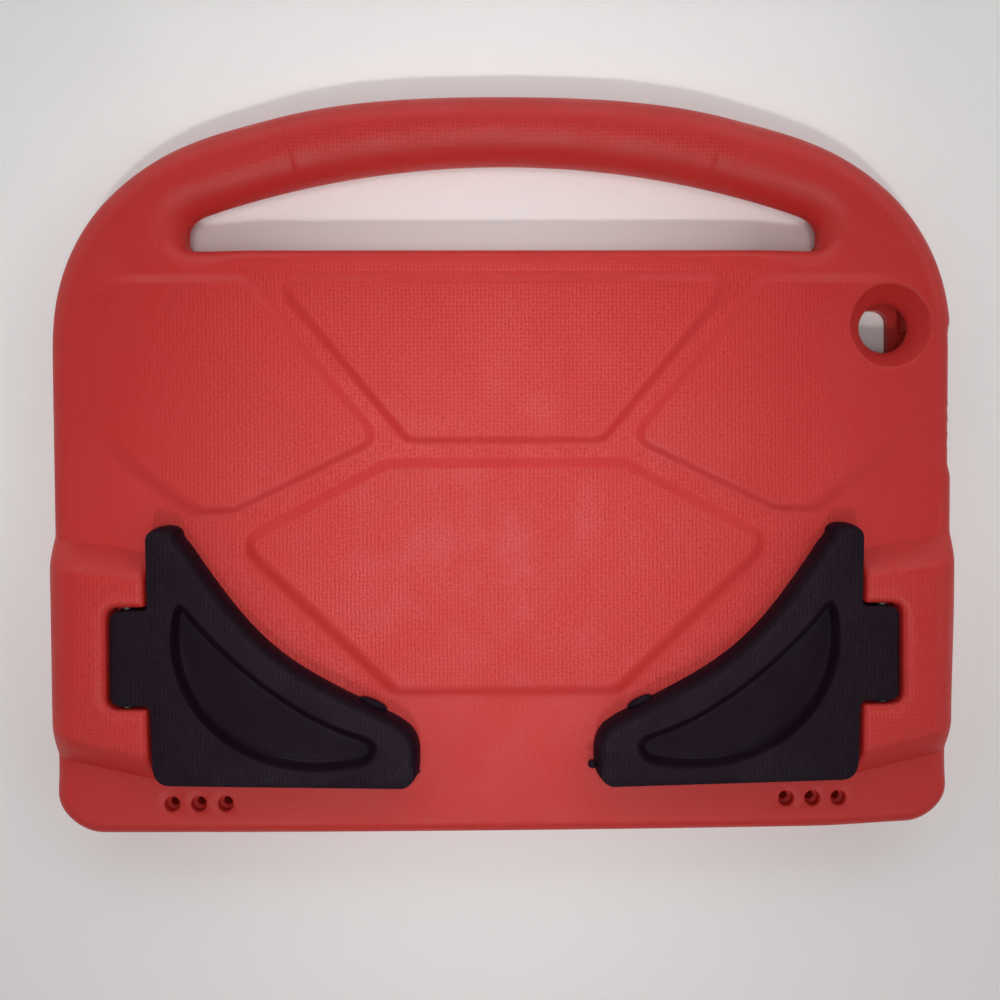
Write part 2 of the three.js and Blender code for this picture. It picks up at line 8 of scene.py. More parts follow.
import bmesh
import bpy
import numpy as np
from mathutils import Matrix, Vector
from mathutils.geometry import delaunay_2d_cdt


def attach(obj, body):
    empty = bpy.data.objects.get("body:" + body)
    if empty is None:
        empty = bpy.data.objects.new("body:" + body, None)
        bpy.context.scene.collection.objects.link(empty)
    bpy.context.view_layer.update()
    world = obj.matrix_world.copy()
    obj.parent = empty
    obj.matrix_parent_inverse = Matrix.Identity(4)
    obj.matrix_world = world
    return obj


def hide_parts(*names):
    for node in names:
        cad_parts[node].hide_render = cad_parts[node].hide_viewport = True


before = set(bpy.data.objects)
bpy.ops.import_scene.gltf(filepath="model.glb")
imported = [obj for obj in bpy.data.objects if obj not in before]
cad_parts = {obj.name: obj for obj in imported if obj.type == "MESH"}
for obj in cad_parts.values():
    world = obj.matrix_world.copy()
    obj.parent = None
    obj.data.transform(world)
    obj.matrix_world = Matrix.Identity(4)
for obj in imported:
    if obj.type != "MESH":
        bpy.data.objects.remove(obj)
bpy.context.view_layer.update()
scene = bpy.context.scene
scene.view_settings.view_transform = "Standard"

# Camera
# The photograph is taken from straight above the case, about a foot away, with the lens a little
# left of the middle and not quite level.
lens_height = 313.69
lens_side = -6.61
lens_up = 0.45
lens_yaw = math.radians(-0.951)
lens_roll = math.radians(-0.240)
camera_data = bpy.data.cameras.new("case_camera")
camera_data.sensor_width = 36
camera_data.lens = 36
camera_data.shift_y = -0.04
camera_data.clip_start = 0.01
camera = bpy.data.objects.new("case_camera", camera_data)
scene.collection.objects.link(camera)
camera.matrix_world = (
    Matrix.Translation((lens_side / 1000, lens_up / 1000, lens_height / 1000))
    @ Matrix.Rotation(lens_roll, 4, "Z")
    @ Matrix.Rotation(lens_yaw, 4, "Y")
)
scene.camera = camera

# Moulded body
# One red EVA foam moulding: a padded plate with a round handle over its top, a hinge block beside
# each foot and raised fields on its back. It is pressed hot in a mould whose faces are textured.
half_width = 133.7
lower_half_width = 132.1
bottom_y = -109.875
body_top_y = 62.975
handle_top_y = 109.875
shoulder_y = 33.575
shoulder_power = 2.48
bottom_corner = 13
bottom_crown = 0.65
back_level = 18.5
foot_top = 26.5
handle_depth = 20.5
opening_half_width = 95.4
opening_spring = (89.6, 74.9)
opening_top_y = 89.675
tab_y = -55.975
hinge_x = 109.75
hinge_z = 22.65


def smooth_step(low, high, value):
    share = np.clip((value - low) / (high - low), 0, 1)
    return share * share * (3 - 2 * share)


def bezier(points, count):
    """Points along a Bezier curve of any order, without the last one."""
    t = np.linspace(0, 1, count, endpoint=False)[:, None]
    level = [np.array(p, float)[None, :] for p in points]
    while len(level) > 1:
        level = [a * (1 - t) + b * t for a, b in zip(level, level[1:])]
    return level[0]


def resampled(points, step):
    """The same closed line with points at even steps along it."""
    closed = np.vstack([points, points[:1]])
    run = np.concatenate([[0], np.cumsum(np.hypot(*np.diff(closed, axis=0).T))])
    count = int(round(run[-1] / step))
    at = np.linspace(0, run[-1], count, endpoint=False)
    return np.column_stack([np.interp(at, run, closed[:, 0]), np.interp(at, run, closed[:, 1])])


def outer_outline():
    """The case seen from above, anticlockwise, with the hollow left by the key slot on its right."""
    low = bottom_y + bottom_crown
    corner = np.linspace(-math.pi / 2, 0, 24)
    x = lower_half_width + bottom_corner * (np.cos(corner) - 1)
    right = [np.column_stack([x, low + bottom_corner * (1 + np.sin(corner))])]
    turn = np.linspace(0, math.pi / 2, 220)
    x = half_width * np.cos(turn) ** (2 / shoulder_power)
    y = shoulder_y + (handle_top_y - shoulder_y) * np.sin(turn) ** (2 / shoulder_power)
    right.append(np.column_stack([x, y]))
    right = np.vstack(right)
    left = (right * [-1, 1])[::-1][1:]
    bottom_half = lower_half_width - bottom_corner
    share = np.linspace(-1, 1, 60)[1:-1]
    bottom = np.column_stack([bottom_half * share, low - bottom_crown * (1 - share**2)])
    line = resampled(np.vstack([bottom, right, left]), 1.5)
    run = np.roll(line, -1, axis=0) - np.roll(line, 1, axis=0)
    normal = np.column_stack([run[:, 1], -run[:, 0]]) / np.hypot(run[:, 0], run[:, 1])[:, None]
    side = smooth_step(70, 98, np.abs(line[:, 0])) * smooth_step(-108, -98, line[:, 1])
    swell = 0.5 + 0.8 * side - 0.5 * smooth_step(90, 104, line[:, 1])
    fuller_left = 0.55 * smooth_step(-40, -75, line[:, 1]) + 0.5 * smooth_step(-20, -32, line[:, 1])
    swell -= fuller_left * smooth_step(90, 125, line[:, 0])
    line += normal * swell[:, None]
    hollow = smooth_step(-5.4, -0.6, line[:, 1]) * (1 - smooth_step(37.6, 42.4, line[:, 1]))
    ragged = 0.16 * np.sin(line[:, 1] * 2.1) * np.sin(line[:, 1] * 0.83 + 1)
    ragged *= smooth_step(2, 4, line[:, 1]) * (1 - smooth_step(17, 19, line[:, 1]))
    line[:, 0] -= np.where(line[:, 0] > 120, 0.9 * hollow + ragged, 0)
    return line


def opening_outline():
    """Edge of the handle's opening seen from above, clockwise."""
    rise = opening_top_y - opening_spring[1]
    radius = (opening_spring[0] ** 2 + rise**2) / (2 * rise)
    x = np.linspace(-opening_spring[0], opening_spring[0], 160)
    arc = np.column_stack([x, opening_top_y - radius + np.sqrt(radius**2 - x**2)])
    end = opening_half_width
    corner = bezier([opening_spring, (end, opening_spring[1] - 1.9), (end, opening_spring[1] - 6.6)], 16)
    foot = bezier([(end, body_top_y + 2.4), (end, body_top_y), (end - 2.4, body_top_y)], 10)
    right = np.vstack([corner, foot])
    left = (right * [-1, 1])[::-1]
    base = np.column_stack([np.linspace(end - 2.4, -(end - 2.4), 120), np.full(120, body_top_y)])
    return resampled(np.vstack([arc, right, base, left]), 1.2)


outline = outer_outline()
opening = opening_outline()


def nearest_on(points, line):
    """Distance from each point to a closed line, and the point of the line that is nearest."""
    a = line
    b = np.roll(line, -1, axis=0)
    run = b - a
    length2 = (run**2).sum(1)
    away = np.empty(len(points))
    spot = np.empty((len(points), 2))
    for start in range(0, len(points), 1500):
        part = points[start : start + 1500]
        share = ((part[:, None, :] - a) * run).sum(2) / length2
        share = np.clip(share, 0, 1)
        foot = a + share[:, :, None] * run
        gap2 = ((part[:, None, :] - foot) ** 2).sum(2)
        best = gap2.argmin(1)
        rows = np.arange(len(part))
        away[start : start + 1500] = np.sqrt(gap2[rows, best])
        spot[start : start + 1500] = foot[rows, best]
    return away, spot


def inside(points, line):
    """True for each point that a closed line goes round."""
    a = line
    b = np.roll(line, -1, axis=0)
    result = np.zeros(len(points), bool)
    for start in range(0, len(points), 2000):
        part = points[start : start + 2000]
        x, y = part[:, 0:1], part[:, 1:2]
        spans = (a[:, 1] > y) != (b[:, 1] > y)
        with np.errstate(divide="ignore", invalid="ignore"):
            cross = a[:, 0] + (y - a[:, 1]) * (b[:, 0] - a[:, 0]) / (b[:, 1] - a[:, 1])
        result[start : start + 2000] = ((x < cross) & spans).sum(1) % 2 == 1
    return result


def handle_share(x, y):
    """1 on the round part of the handle, falling to 0 at the shoulders."""
    return (1 - smooth_step(50, 96, np.abs(x))) * smooth_step(64, 72, y)


block_middle_x = 121.7
block_up = {"reach": 32.4, "skew": 0.165, "run": 8.3}
block_down = {"reach": 32.6, "skew": 0.24, "run": 9.4}


def block_share(x, y):
    """1 on the top of a hinge block, falling to 0 down the slopes at its two ends."""
    across = np.abs(x) - block_middle_x
    upper = np.clip((tab_y + block_up["reach"] + block_up["skew"] * across - y) / block_up["run"], 0, 1)
    lower = np.clip((y - tab_y + block_down["reach"] - block_down["skew"] * across) / block_down["run"], 0, 1)
    return upper * (1.3 - 0.3 * upper**2) * lower * (1.3 - 0.3 * lower**2)


def outer_round(spot):
    """Width and depth of the rounding at a point of the outline."""
    x, y = spot[:, 0], spot[:, 1]
    grip = smooth_step(52, 84, y) * (1 - smooth_step(60, 118, np.abs(x)))
    shoulder = smooth_step(30, 70, y)
    block = block_share(x, y) * smooth_step(95, 115, np.abs(x))
    low = 1 - smooth_step(-104, -90, y)
    width = 6.6 + 2.0 * shoulder + 1.4 * grip + 4.2 * block - 1.8 * low
    depth = 6.6 + 2.0 * shoulder + 1.6 * grip + 4.9 * block - 1.8 * low
    return width, depth


def inner_round(spot):
    """Width and depth of the rounding at a point of the handle's opening."""
    x, y = np.abs(spot[:, 0]), spot[:, 1]
    up = smooth_step(body_top_y + 0.1, body_top_y + 3.5, y)
    beside = smooth_step(74, 92, x)
    width = 3.4 + (4.6 * (1 - up) * beside) + up * 6.7
    depth = 3.4 + (1.6 * (1 - up) * beside) + up * 6.8
    return width, depth


top_field = [(-28.2, 7.75), (28.2, 7.75), (64.6, 52.3), (-64.6, 52.3)]
hex_field = [(-31.7, -65.55), (31.7, -65.55), (75.3, -23.65), (34.5, -1.9), (-34.5, -1.9), (-75.3, -23.65)]
side_field = [
    (39.8, 7.25), (80, -12.6), (89, -12.8), (112.5, 4.2), (119.5, 14), (121, 36), (121, 52.3), (77.5, 52.3)
]
field_corner = 2.2
field_rise = 1.5
field_slope = 2.9


def rounded_polygon(corners, radius, grow=0.0, step=2.0):
    """Closed line a distance outside a convex polygon, with round corners."""
    points = np.array(corners, float)
    count = len(points)
    area = 0.5 * sum(
        points[i][0] * points[(i + 1) % count][1] - points[(i + 1) % count][0] * points[i][1]
        for i in range(count)
    )
    if area < 0:
        points = points[::-1]
    line = []
    for i in range(count):
        before = points[i] - points[i - 1]
        after = points[(i + 1) % count] - points[i]
        before /= np.hypot(*before)
        after /= np.hypot(*after)
        normal_in = np.array([before[1], -before[0]])
        normal_out = np.array([after[1], -after[0]])
        bisector = normal_in + normal_out
        bisector /= (bisector**2).sum() / 2
        centre = points[i] - bisector * radius
        start = math.atan2(normal_in[1], normal_in[0])
        turn = (math.atan2(normal_out[1], normal_out[0]) - start + math.pi) % (2 * math.pi) - math.pi
        steps = max(2, int(abs(turn) / 0.2))
        for k in range(steps + 1):
            angle = start + turn * k / steps
            line.append(centre + (radius + grow) * np.array([math.cos(angle), math.sin(angle)]))
    return resampled(np.array(line), step)


def outside_polygon(points, corners, radius):
    """Distance outside a round-cornered convex polygon, negative inside it."""
    line = rounded_polygon(corners, radius, 0.0, 0.8)
    away, _ = nearest_on(points, line)
    return np.where(inside(points, line), -away, away)


field_shapes = [top_field, hex_field, side_field, [(-x, y) for x, y in side_field]]
handle_seams = [((sign * 64.6, 100.4), (sign * 61.0, 84.6)) for sign in (-1, 1)]


def field_height(points):
    """Rise of the raised fields, and 1 where a slope or edge leaves the surface smooth."""
    rise = np.zeros(len(points))
    plain = np.zeros(len(points))
    for shape in field_shapes:
        side = min(x for x, _ in shape) > 0 or max(x for x, _ in shape) < 0
        keep = np.ones(len(points))
        if side:
            keep = 1 - 0.8 * smooth_step(104, 119, np.abs(points[:, 0]))
        away = outside_polygon(points, shape, field_corner)
        y = points[:, 1]
        wide = field_slope + 0.6 * smooth_step(30, 50, y) + 1.3 * (1 - smooth_step(-32, -22, y))
        if side:
            reach = np.abs(points[:, 0])
            wide += 2.0 * smooth_step(86, 94, reach) * (1 - smooth_step(8, 20, y))
        share = np.clip(1 - away / wide, 0, 1)
        soft = share - 0.055 * np.sin(2 * math.pi * share)
        rise = np.maximum(rise, field_rise * soft * keep)
        slope = smooth_step(-0.5, 0.2, away) * (1 - smooth_step(wide - 0.1, wide + 0.6, away))
        plain = np.maximum(plain, slope * keep)
    return rise, plain


def seam_height(points):
    """Fine raised line across the handle at each end of its round part."""
    rise = np.zeros(len(points))
    for high, low in handle_seams:
        a, b = np.array(high), np.array(low)
        run = b - a
        share = ((points - a) @ run) / (run @ run)
        away = np.hypot(*(points - a - np.clip(share, 0, 1)[:, None] * run).T)
        strength = 0.22 + 0.22 * smooth_step(0.3, 0.7, share)
        strength = strength * smooth_step(-0.05, 0.12, share) * (1 - smooth_step(0.96, 1.04, share))
        rise += strength * np.exp(-((away / 0.42) ** 2))
    return rise


def back_height(points):
    """Height of the back of the body above its front, at places seen from above."""
    x, y = points[:, 0], points[:, 1]
    away_out, spot_out = nearest_on(points, outline)
    away_in, spot_in = nearest_on(points, opening)
    level = back_level + (handle_depth - back_level) * handle_share(x, y)
    level += (foot_top - back_level) * block_share(x, y) * beside_foot(points)
    fields, _ = field_height(points)
    level += fields * smooth_step(2, 9, away_out)
    height = level
    for away, (width, depth) in ((away_out, outer_round(spot_out)), (away_in, inner_round(spot_in))):
        share = np.clip(1 - away / width, 0, 1)
        height = height - depth * (1 - np.sqrt(np.clip(1 - share**2, 0, 1)))
    return height + seam_height(points)


foot_rise = 37.7
foot_drop = 38.3
foot_top_side = 5.95
foot_side_lean = 1.65 / (foot_rise + foot_drop)
foot_side_gap = 0.45
notch_half = 14.4
notch_outer = hinge_x + 5.09
notch_corner = 3.4
notch_lip = 1.2


def foot_side(v):
    """Distance of a foot's straight side from the hinge axis, at a distance above the tab's middle."""
    return foot_top_side + foot_side_lean * (foot_rise - v)


def block_face_x(y):
    """Inner face of a hinge block, along the foot's straight side."""
    return hinge_x - foot_side(y - tab_y) + foot_side_gap


def foot_side_line(side, grow=0.0):
    """Edge of a hinge block's top towards its foot, from below it to above it, round the tab's notch."""
    half = notch_half + grow
    outer = notch_outer + grow
    low, high = tab_y - half, tab_y + half
    bend = outer - notch_corner
    at_low, at_high = block_face_x(low) + grow, block_face_x(high) + grow
    below = np.linspace(tab_y - 38, low - notch_lip, 16)
    above = np.linspace(high + notch_lip, tab_y + 38, 16)
    end = np.linspace(low + notch_corner, high - notch_corner, 14)[:-1]
    face = [
        np.column_stack([block_face_x(below) + grow, below]),
        bezier([(at_low, low - notch_lip), (at_low, low), (at_low + notch_lip, low)], 5),
        np.column_stack([np.linspace(at_low + notch_lip, bend, 5)[:-1], np.full(4, low)]),
        bezier([(bend, low), (outer, low), (outer, low + notch_corner)], 8),
        np.column_stack([np.full(13, outer), end]),
        bezier([(outer, high - notch_corner), (outer, high), (bend, high)], 8),
        np.column_stack([np.linspace(bend, at_high + notch_lip, 5)[:-1], np.full(4, high)]),
        bezier([(at_high + notch_lip, high), (at_high, high), (at_high, high + notch_lip)], 5),
        np.column_stack([block_face_x(above) + grow, above]),
    ]
    return np.vstack(face) * [side, 1]


foot_lines = {side: foot_side_line(side) for side in (-1, 1)}
foot_zones = {
    side: np.vstack([line, [[side * 60, tab_y + 38], [side * 60, tab_y - 38]]])
    for side, line in foot_lines.items()
}
rim_round = 2.3


def beside_foot(points):
    """0 on the foot's side of a block's edge, and the share of the block's height reached beyond it."""
    result = np.zeros(len(points))
    for side in (-1, 1):
        line = foot_lines[side]
        near = points[:, 0] * side > 60
        if not near.any():
            continue
        part = points[near]
        away, _ = nearest_on(part, np.vstack([line, line[::-1][1:-1]]))
        share = np.clip(1 - away / rim_round, 0, 1)
        drop = rim_round * (1 - np.sqrt(np.clip(1 - share**2, 0, 1))) / (foot_top - back_level)
        zone = foot_zones[side]
        within = inside(part, zone) | (np.abs(part[:, 0]) < block_face_x(part[:, 1]) - 0.02)
        result[near] = np.where(within, 0, 1 - drop)
    return result


camera_hole = (115.0, 39.925)
funnel_rim = 12.1
throat = 7.5
throat_top = 11.65
funnel_slope = (back_level - throat_top) / (funnel_rim - throat)


def funnel_height(points):
    """Height of the camera hole's funnel, far above the back away from it."""
    out = np.hypot(points[:, 0] - camera_hole[0], points[:, 1] - camera_hole[1])
    return throat_top + (out - throat) * funnel_slope


def soft_lower(a, b, blend):
    """The lower of two heights, with the edge between them rounded off."""
    share = np.clip(0.5 + 0.5 * (b - a) / blend, 0, 1)
    return b * (1 - share) + a * share - blend * share * (1 - share)


def body_top(points):
    height = back_height(points)
    near = np.hypot(points[:, 0] - camera_hole[0], points[:, 1] - camera_hole[1]) < 20
    height[near] = soft_lower(height[near], funnel_height(points[near]), 0.7)
    for side in (-1, 1):
        seat = inside(points, foot_zones[side]) & (points[:, 0] * side > 102.2)
        seat &= np.abs(points[:, 1] - tab_y) < notch_half + 0.3
        height[seat] -= 0.95 * smooth_step(102.2, 103.2, points[seat, 0] * side)
    return height


def offset_lines(line, widths, shares, inward):
    """Lines inside a closed line, each a share of the local width from it."""
    before = np.roll(line, 1, axis=0)
    after = np.roll(line, -1, axis=0)
    run = after - before
    run /= np.hypot(run[:, 0], run[:, 1])[:, None]
    normal = np.column_stack([-run[:, 1], run[:, 0]]) * inward
    return [line + normal * (widths * share)[:, None] for share in shares]


rounding_shares = 1 - np.cos(np.linspace(0, math.pi / 2, 12))[1:]


def within_border(faces, borders):
    """The triangles on the left of closed borders, reached from one to the next without crossing them."""
    owner = {}
    for index, (a, b, c) in enumerate(faces):
        owner[(a, b)] = owner[(b, c)] = owner[(c, a)] = index
    walls = {(rim[i - 1], rim[i]) for rim in borders for i in range(len(rim))}
    waiting = [owner[edge] for edge in walls]
    walls |= {(b, a) for a, b in walls}
    reached = set(waiting)
    while waiting:
        a, b, c = faces[waiting.pop()]
        for edge in ((a, b), (b, c), (c, a)):
            beyond = owner.get((edge[1], edge[0]))
            if edge not in walls and beyond is not None and beyond not in reached:
                reached.add(beyond)
                waiting.append(beyond)
    return np.array([faces[i] for i in sorted(reached)])


def clear_room(points, borders):
    """Distance of each point from the nearest border, negative where it lies off the solid."""
    away = np.min([nearest_on(points, line)[0] for line, _ in borders], axis=0)
    within = inside(points, borders[0][0])
    for line, _ in borders[1:]:
        within &= ~inside(points, line)
    return np.where(within, away, -away)


def plan_mesh(borders, extra_lines, loose_points, room):
    """Triangles over a plan, with points along its borders, inside their roundings and on other lines.

    Each border is a closed line with the solid on its left, and the width of its rounding at each point."""
    points = []
    edges = []
    total = 0

    def add_line(line, closed, keep):
        nonlocal total
        index = np.cumsum(keep) - 1 + total
        for i in range(len(line) if closed else len(line) - 1):
            j = (i + 1) % len(line)
            if keep[i] and keep[j]:
                edges.append((int(index[i]), int(index[j])))
        points.append(line[keep])
        total += int(keep.sum())

    for line, _ in borders:
        add_line(line, True, np.ones(len(line), bool))
    for line, widths in borders:
        for share, ring in zip(rounding_shares, offset_lines(line, widths, rounding_shares, 1)):
            add_line(ring, True, clear_room(ring, borders) > widths * share * 0.94)
    for line, closed in extra_lines:
        add_line(line, closed, clear_room(line, borders) > 0.5)
    if len(loose_points):
        points.append(loose_points[clear_room(loose_points, borders) > room])
    found = delaunay_2d_cdt([tuple(p) for p in np.vstack(points)], edges, [], 0, 1e-4)
    origin = {old: new for new, olds in enumerate(found[3]) for old in olds}
    rims = []
    first = 0
    for line, _ in borders:
        rims.append([origin[first + i] for i in range(len(line))])
        first += len(line)
    return np.array([tuple(v) for v in found[0]]), within_border(found[2], rims), rims


def closed_solid(top, top_height, under, under_height):
    """Joins an upper and a lower plan mesh with the same borders by walls."""
    verts = np.vstack([np.column_stack([top[0], top_height]), np.column_stack([under[0], under_height])])
    shift = len(top[0])
    faces = [tuple(f) for f in top[1]]
    faces += [(f[0] + shift, f[2] + shift, f[1] + shift) for f in under[1]]
    for upper, lower in zip(top[2], under[2]):
        for i in range(len(upper)):
            faces.append((upper[i - 1], lower[i - 1] + shift, lower[i] + shift, upper[i]))
    return verts, faces


def grid_points(low, high, step):
    x = np.arange(low[0], high[0], step)
    y = np.arange(low[1], high[1], step)
    gx, gy = np.meshgrid(x, y)
    gx[1::2] += step / 2
    return np.column_stack([gx.ravel(), gy.ravel()])


def body_lines():
    """Lines of the back that the mesh follows: field slopes, block ends, foot edges, funnel and seams."""
    lines = []
    for shape in field_shapes:
        shares = [-0.2, 0.0, 0.12, 0.3, 0.5, 0.7, 0.88, 1.0, 1.12, 1.3, 1.45]
        if abs(shape[0][0]) == abs(side_field[0][0]):
            shares += [1.6, 1.75]
        for share in shares:
            lines.append((rounded_polygon(shape, field_corner, share * field_slope), True))
    for side in (-1, 1):
        for grow in (-0.06, 0.0, 0.15, 0.4, 0.8, 1.3, 1.8, rim_round):
            lines.append((foot_side_line(side, grow), False))
        x = np.linspace(102.5, 131, 20)
        for share in np.linspace(0, 1, 9):
            across = x - block_middle_x
            upper = tab_y + block_up["reach"] + block_up["skew"] * across - block_up["run"] * share
            lower = tab_y - block_down["reach"] + block_down["skew"] * across + block_down["run"] * share
            lines.append((np.column_stack([side * x, upper]), False))
            lines.append((np.column_stack([side * x, lower]), False))
    turn = np.linspace(0, 2 * math.pi, 72, endpoint=False)
    for radius in (7.2, 8.5, 10, 11.2, 11.6, 11.9, 12.1, 12.35, 12.7, 13.2, 14):
        ring = [camera_hole[0] + radius * np.cos(turn), camera_hole[1] + radius * np.sin(turn)]
        lines.append((np.column_stack(ring), True))
    for high, low in handle_seams:
        a, b = np.array(high), np.array(low)
        run = (b - a) / np.hypot(*(b - a))
        across = np.array([-run[1], run[0]])
        spots = np.linspace(-0.6, np.hypot(*(b - a)) + 0.6, 20)
        for shift in (-1.1, -0.75, -0.45, -0.2, 0, 0.2, 0.45, 0.75, 1.1):
            lines.append((a + spots[:, None] * run + shift * across, False))
    return lines


def opening_foot(spot):
    """Rounding at the underside of the handle's opening, large on the handle and small on the plate."""
    return 1.5 + 8.65 * smooth_step(body_top_y + 0.2, body_top_y + 3.6, spot[:, 1])


def body_foot(spot):
    """Rounding at the underside of the outline, largest on the handle."""
    return 4 + 6.15 * handle_share(spot[:, 0], spot[:, 1])


def body_under(points):
    """Height of the front of the body above the table."""
    height = np.zeros(len(points))
    for line, rounding in ((outline, body_foot), (opening, opening_foot)):
        away, spot = nearest_on(points, line)
        depth = rounding(spot)
        height += depth * (1 - np.sqrt(1 - np.clip(1 - away / depth, 0, 1) ** 2))
    return height


def mesh_object(name, verts, faces):
    mesh = bpy.data.meshes.new(name)
    mesh.from_pydata((np.asarray(verts) / 1000).tolist(), [], [tuple(int(i) for i in f) for f in faces])
    mesh.validate()
    shape = bmesh.new()
    shape.from_mesh(mesh)
    bmesh.ops.remove_doubles(shape, verts=shape.verts, dist=1e-7)
    bmesh.ops.recalc_face_normals(shape, faces=shape.faces)
    shape.to_mesh(mesh)
    shape.free()
    piece = bpy.data.objects.new(name, mesh)
    scene.collection.objects.link(piece)
    return piece


def prism(name, line, low, high):
    """Upright solid over a closed plan line."""
    count = len(line)
    ends = [np.column_stack([line, np.full(count, level)]) for level in (low, high)]
    verts = np.vstack(ends)
    faces = [tuple(range(count))[::-1], tuple(range(count, 2 * count))]
    faces += [(i, (i + 1) % count, count + (i + 1) % count, count + i) for i in range(count)]
    return mesh_object(name, verts, faces)


def turned(name, centre, profile, sides):
    """Upright solid of revolution from radius and height pairs."""
    turn = np.linspace(0, 2 * math.pi, sides, endpoint=False)
    verts = []
    for radius, z in profile:
        for angle in turn:
            verts.append((centre[0] + radius * math.cos(angle), centre[1] + radius * math.sin(angle), z))
    faces = [tuple(range(sides))[::-1], tuple(range((len(profile) - 1) * sides, len(profile) * sides))]
    for k in range(len(profile) - 1):
        for i in range(sides):
            j = (i + 1) % sides
            faces.append((k * sides + i, k * sides + j, (k + 1) * sides + j, (k + 1) * sides + i))
    return mesh_object(name, verts, faces)


def combine(piece, tool, operation):
    """Cuts a tool from a piece, or keeps what the two share, and removes the tool."""
    change = piece.modifiers.new("change", "BOOLEAN")
    change.operation = operation
    change.solver = "MANIFOLD"
    change.object = tool
    with bpy.context.temp_override(object=piece, active_object=piece):
        bpy.ops.object.modifier_apply(modifier=change.name)
    bpy.data.objects.remove(tool)


def box_line(x0, y0, x1, y1, radius):
    return rounded_polygon([(x0, y0), (x1, y0), (x1, y1), (x0, y1)], radius, 0.0, 1.0)


top_plan = plan_mesh(
    [(outline, outer_round(outline)[0]), (opening, inner_round(opening)[0])],
    body_lines(),
    grid_points((-132, -108), (132, 109), 4.0),
    5,
)
under_plan = plan_mesh(
    [(outline, body_foot(outline)), (opening, opening_foot(opening))],
    [],
    grid_points((-130, -106), (130, 107), 9.0),
    5,
)
cavity_y = -23.175
body = mesh_object(
    "moulded_body", *closed_solid(top_plan, body_top(top_plan[0]), under_plan, body_under(under_plan[0]))
)
cavity_low = cavity_y - 74.95
cavity_high = cavity_y + 74.95
cavity_line = box_line(-122.85, cavity_low, 122.85, cavity_high, 7)
combine(body, prism("cavity", cavity_line, 3, 10.75), "DIFFERENCE")
window_line = box_line(-117.85, cavity_low + 5, 119.9, cavity_high - 5, 4)
combine(body, prism("window", window_line, -1, 4), "DIFFERENCE")
combine(body, turned("throat", camera_hole, [(throat, 9), (throat, 14)], 72), "DIFFERENCE")
slot_line = box_line(121, 1.175, 140, 39.175, 0.6)
combine(body, prism("key_slot", slot_line, 3.6, 10.15), "DIFFERENCE")
sound_y = cavity_low - 2.2
sound_hole = [(1.25, 6.9), (1.25, 15.1), (2.2, 15.7), (2.2, 18.0), (2.35, 18.35), (2.7, 18.56), (2.9, 19.5)]
for side in (-1, 1):
    for k in (-1, 0, 1):
        at = (side * (90.6 + 7.8 * k), sound_y)
        combine(body, turned("sound_hole", at, sound_hole, 28), "DIFFERENCE")
        duct = box_line(at[0] - 1.25, sound_y, at[0] + 1.25, sound_y + 3.2, 0.3)
        combine(body, prism("duct", duct, 5.4, 8.4), "DIFFERENCE")


def rod(name, side, radius, low, high, sides):
    """Solid rod along a hinge's axis."""
    turn = np.linspace(0, 2 * math.pi, sides, endpoint=False)
    verts = []
    for y in (low, high):
        for angle in turn:
            verts.append((side * hinge_x + radius * math.cos(angle), y, hinge_z + radius * math.sin(angle)))
    faces = [tuple(range(sides)), tuple(range(sides, 2 * sides))[::-1]]
    faces += [(i, sides + i, sides + (i + 1) % sides, (i + 1) % sides) for i in range(sides)]
    return mesh_object(name, verts, faces)


bore_radius = 1.8
bore_half = 20.25
for side in (-1, 1):
    bore = rod("bore", side, bore_radius, tab_y - bore_half, tab_y + bore_half, 24)
    combine(body, bore, "DIFFERENCE")


def dress(piece, material):
    """Gives the whole piece one material."""
    piece.data.materials.clear()
    piece.data.materials.append(material)
    piece.data.polygons.foreach_set("material_index", [0] * len(piece.data.polygons))


def smooth_shading(piece, degrees):
    piece.data.shade_smooth()
    piece.data.set_sharp_from_angle(angle=math.radians(degrees))


smooth_shading(body, 42)


def write_mask(piece, name, values):
    layer = piece.data.attributes.new(name, "FLOAT", "POINT")
    layer.data.foreach_set("value", np.asarray(values, np.float32))


def read_points(piece):
    spots = np.empty(len(piece.data.vertices) * 3)
    piece.data.vertices.foreach_get("co", spots)
    return spots.reshape(-1, 3) * 1000


spots = read_points(body)
plan = spots[:, :2].copy()
reach = np.abs(plan[:, 0])
away_out, _ = nearest_on(plan, outline)
away_in, _ = nearest_on(plan, opening)
_, plain = field_height(plan)
upper = smooth_step(12, 15, spots[:, 2])
edge_clear = smooth_step(5.5, 13, away_out) * smooth_step(2.5, 6, away_in)
fade = 1 - 0.15 * smooth_step(50, 66, reach) - 0.45 * smooth_step(70, 104, reach)
fade -= 0.3 * smooth_step(98, 112, reach)
fade *= 0.22 + 0.78 * smooth_step(-76, -62, plan[:, 1])
fade *= 1 - 0.6 * smooth_step(53, 60, plan[:, 1])
blocks = smooth_step(97, 101, reach) * block_share(plan[:, 0], plan[:, 1])
fade = np.maximum(fade, 0.42 * smooth_step(0.8, 1, blocks))
on_handle = smooth_step(66, 74, plan[:, 1]) * smooth_step(7, 11, away_out) * smooth_step(3, 7, away_in)
on_handle *= 1 - smooth_step(60, 90, reach)
weave = upper * np.maximum(edge_clear * (1 - 0.7 * plain) * fade, 0.55 * on_handle)
weave *= smooth_step(12.6, 15, np.hypot(plan[:, 0] - camera_hole[0], plan[:, 1] - camera_hole[1]))
write_mask(body, "weave", weave)
# Painted highlights: a thin light line across the back just below the handle's opening, and a light line
# along each hinge block's rim beside its foot, standing in for light caught by the roundings.
lighter_share = 0.3 * np.exp(-(((plan[:, 1] - 56.9) / 0.45) ** 2)) * (1 - smooth_step(60, 76, reach))
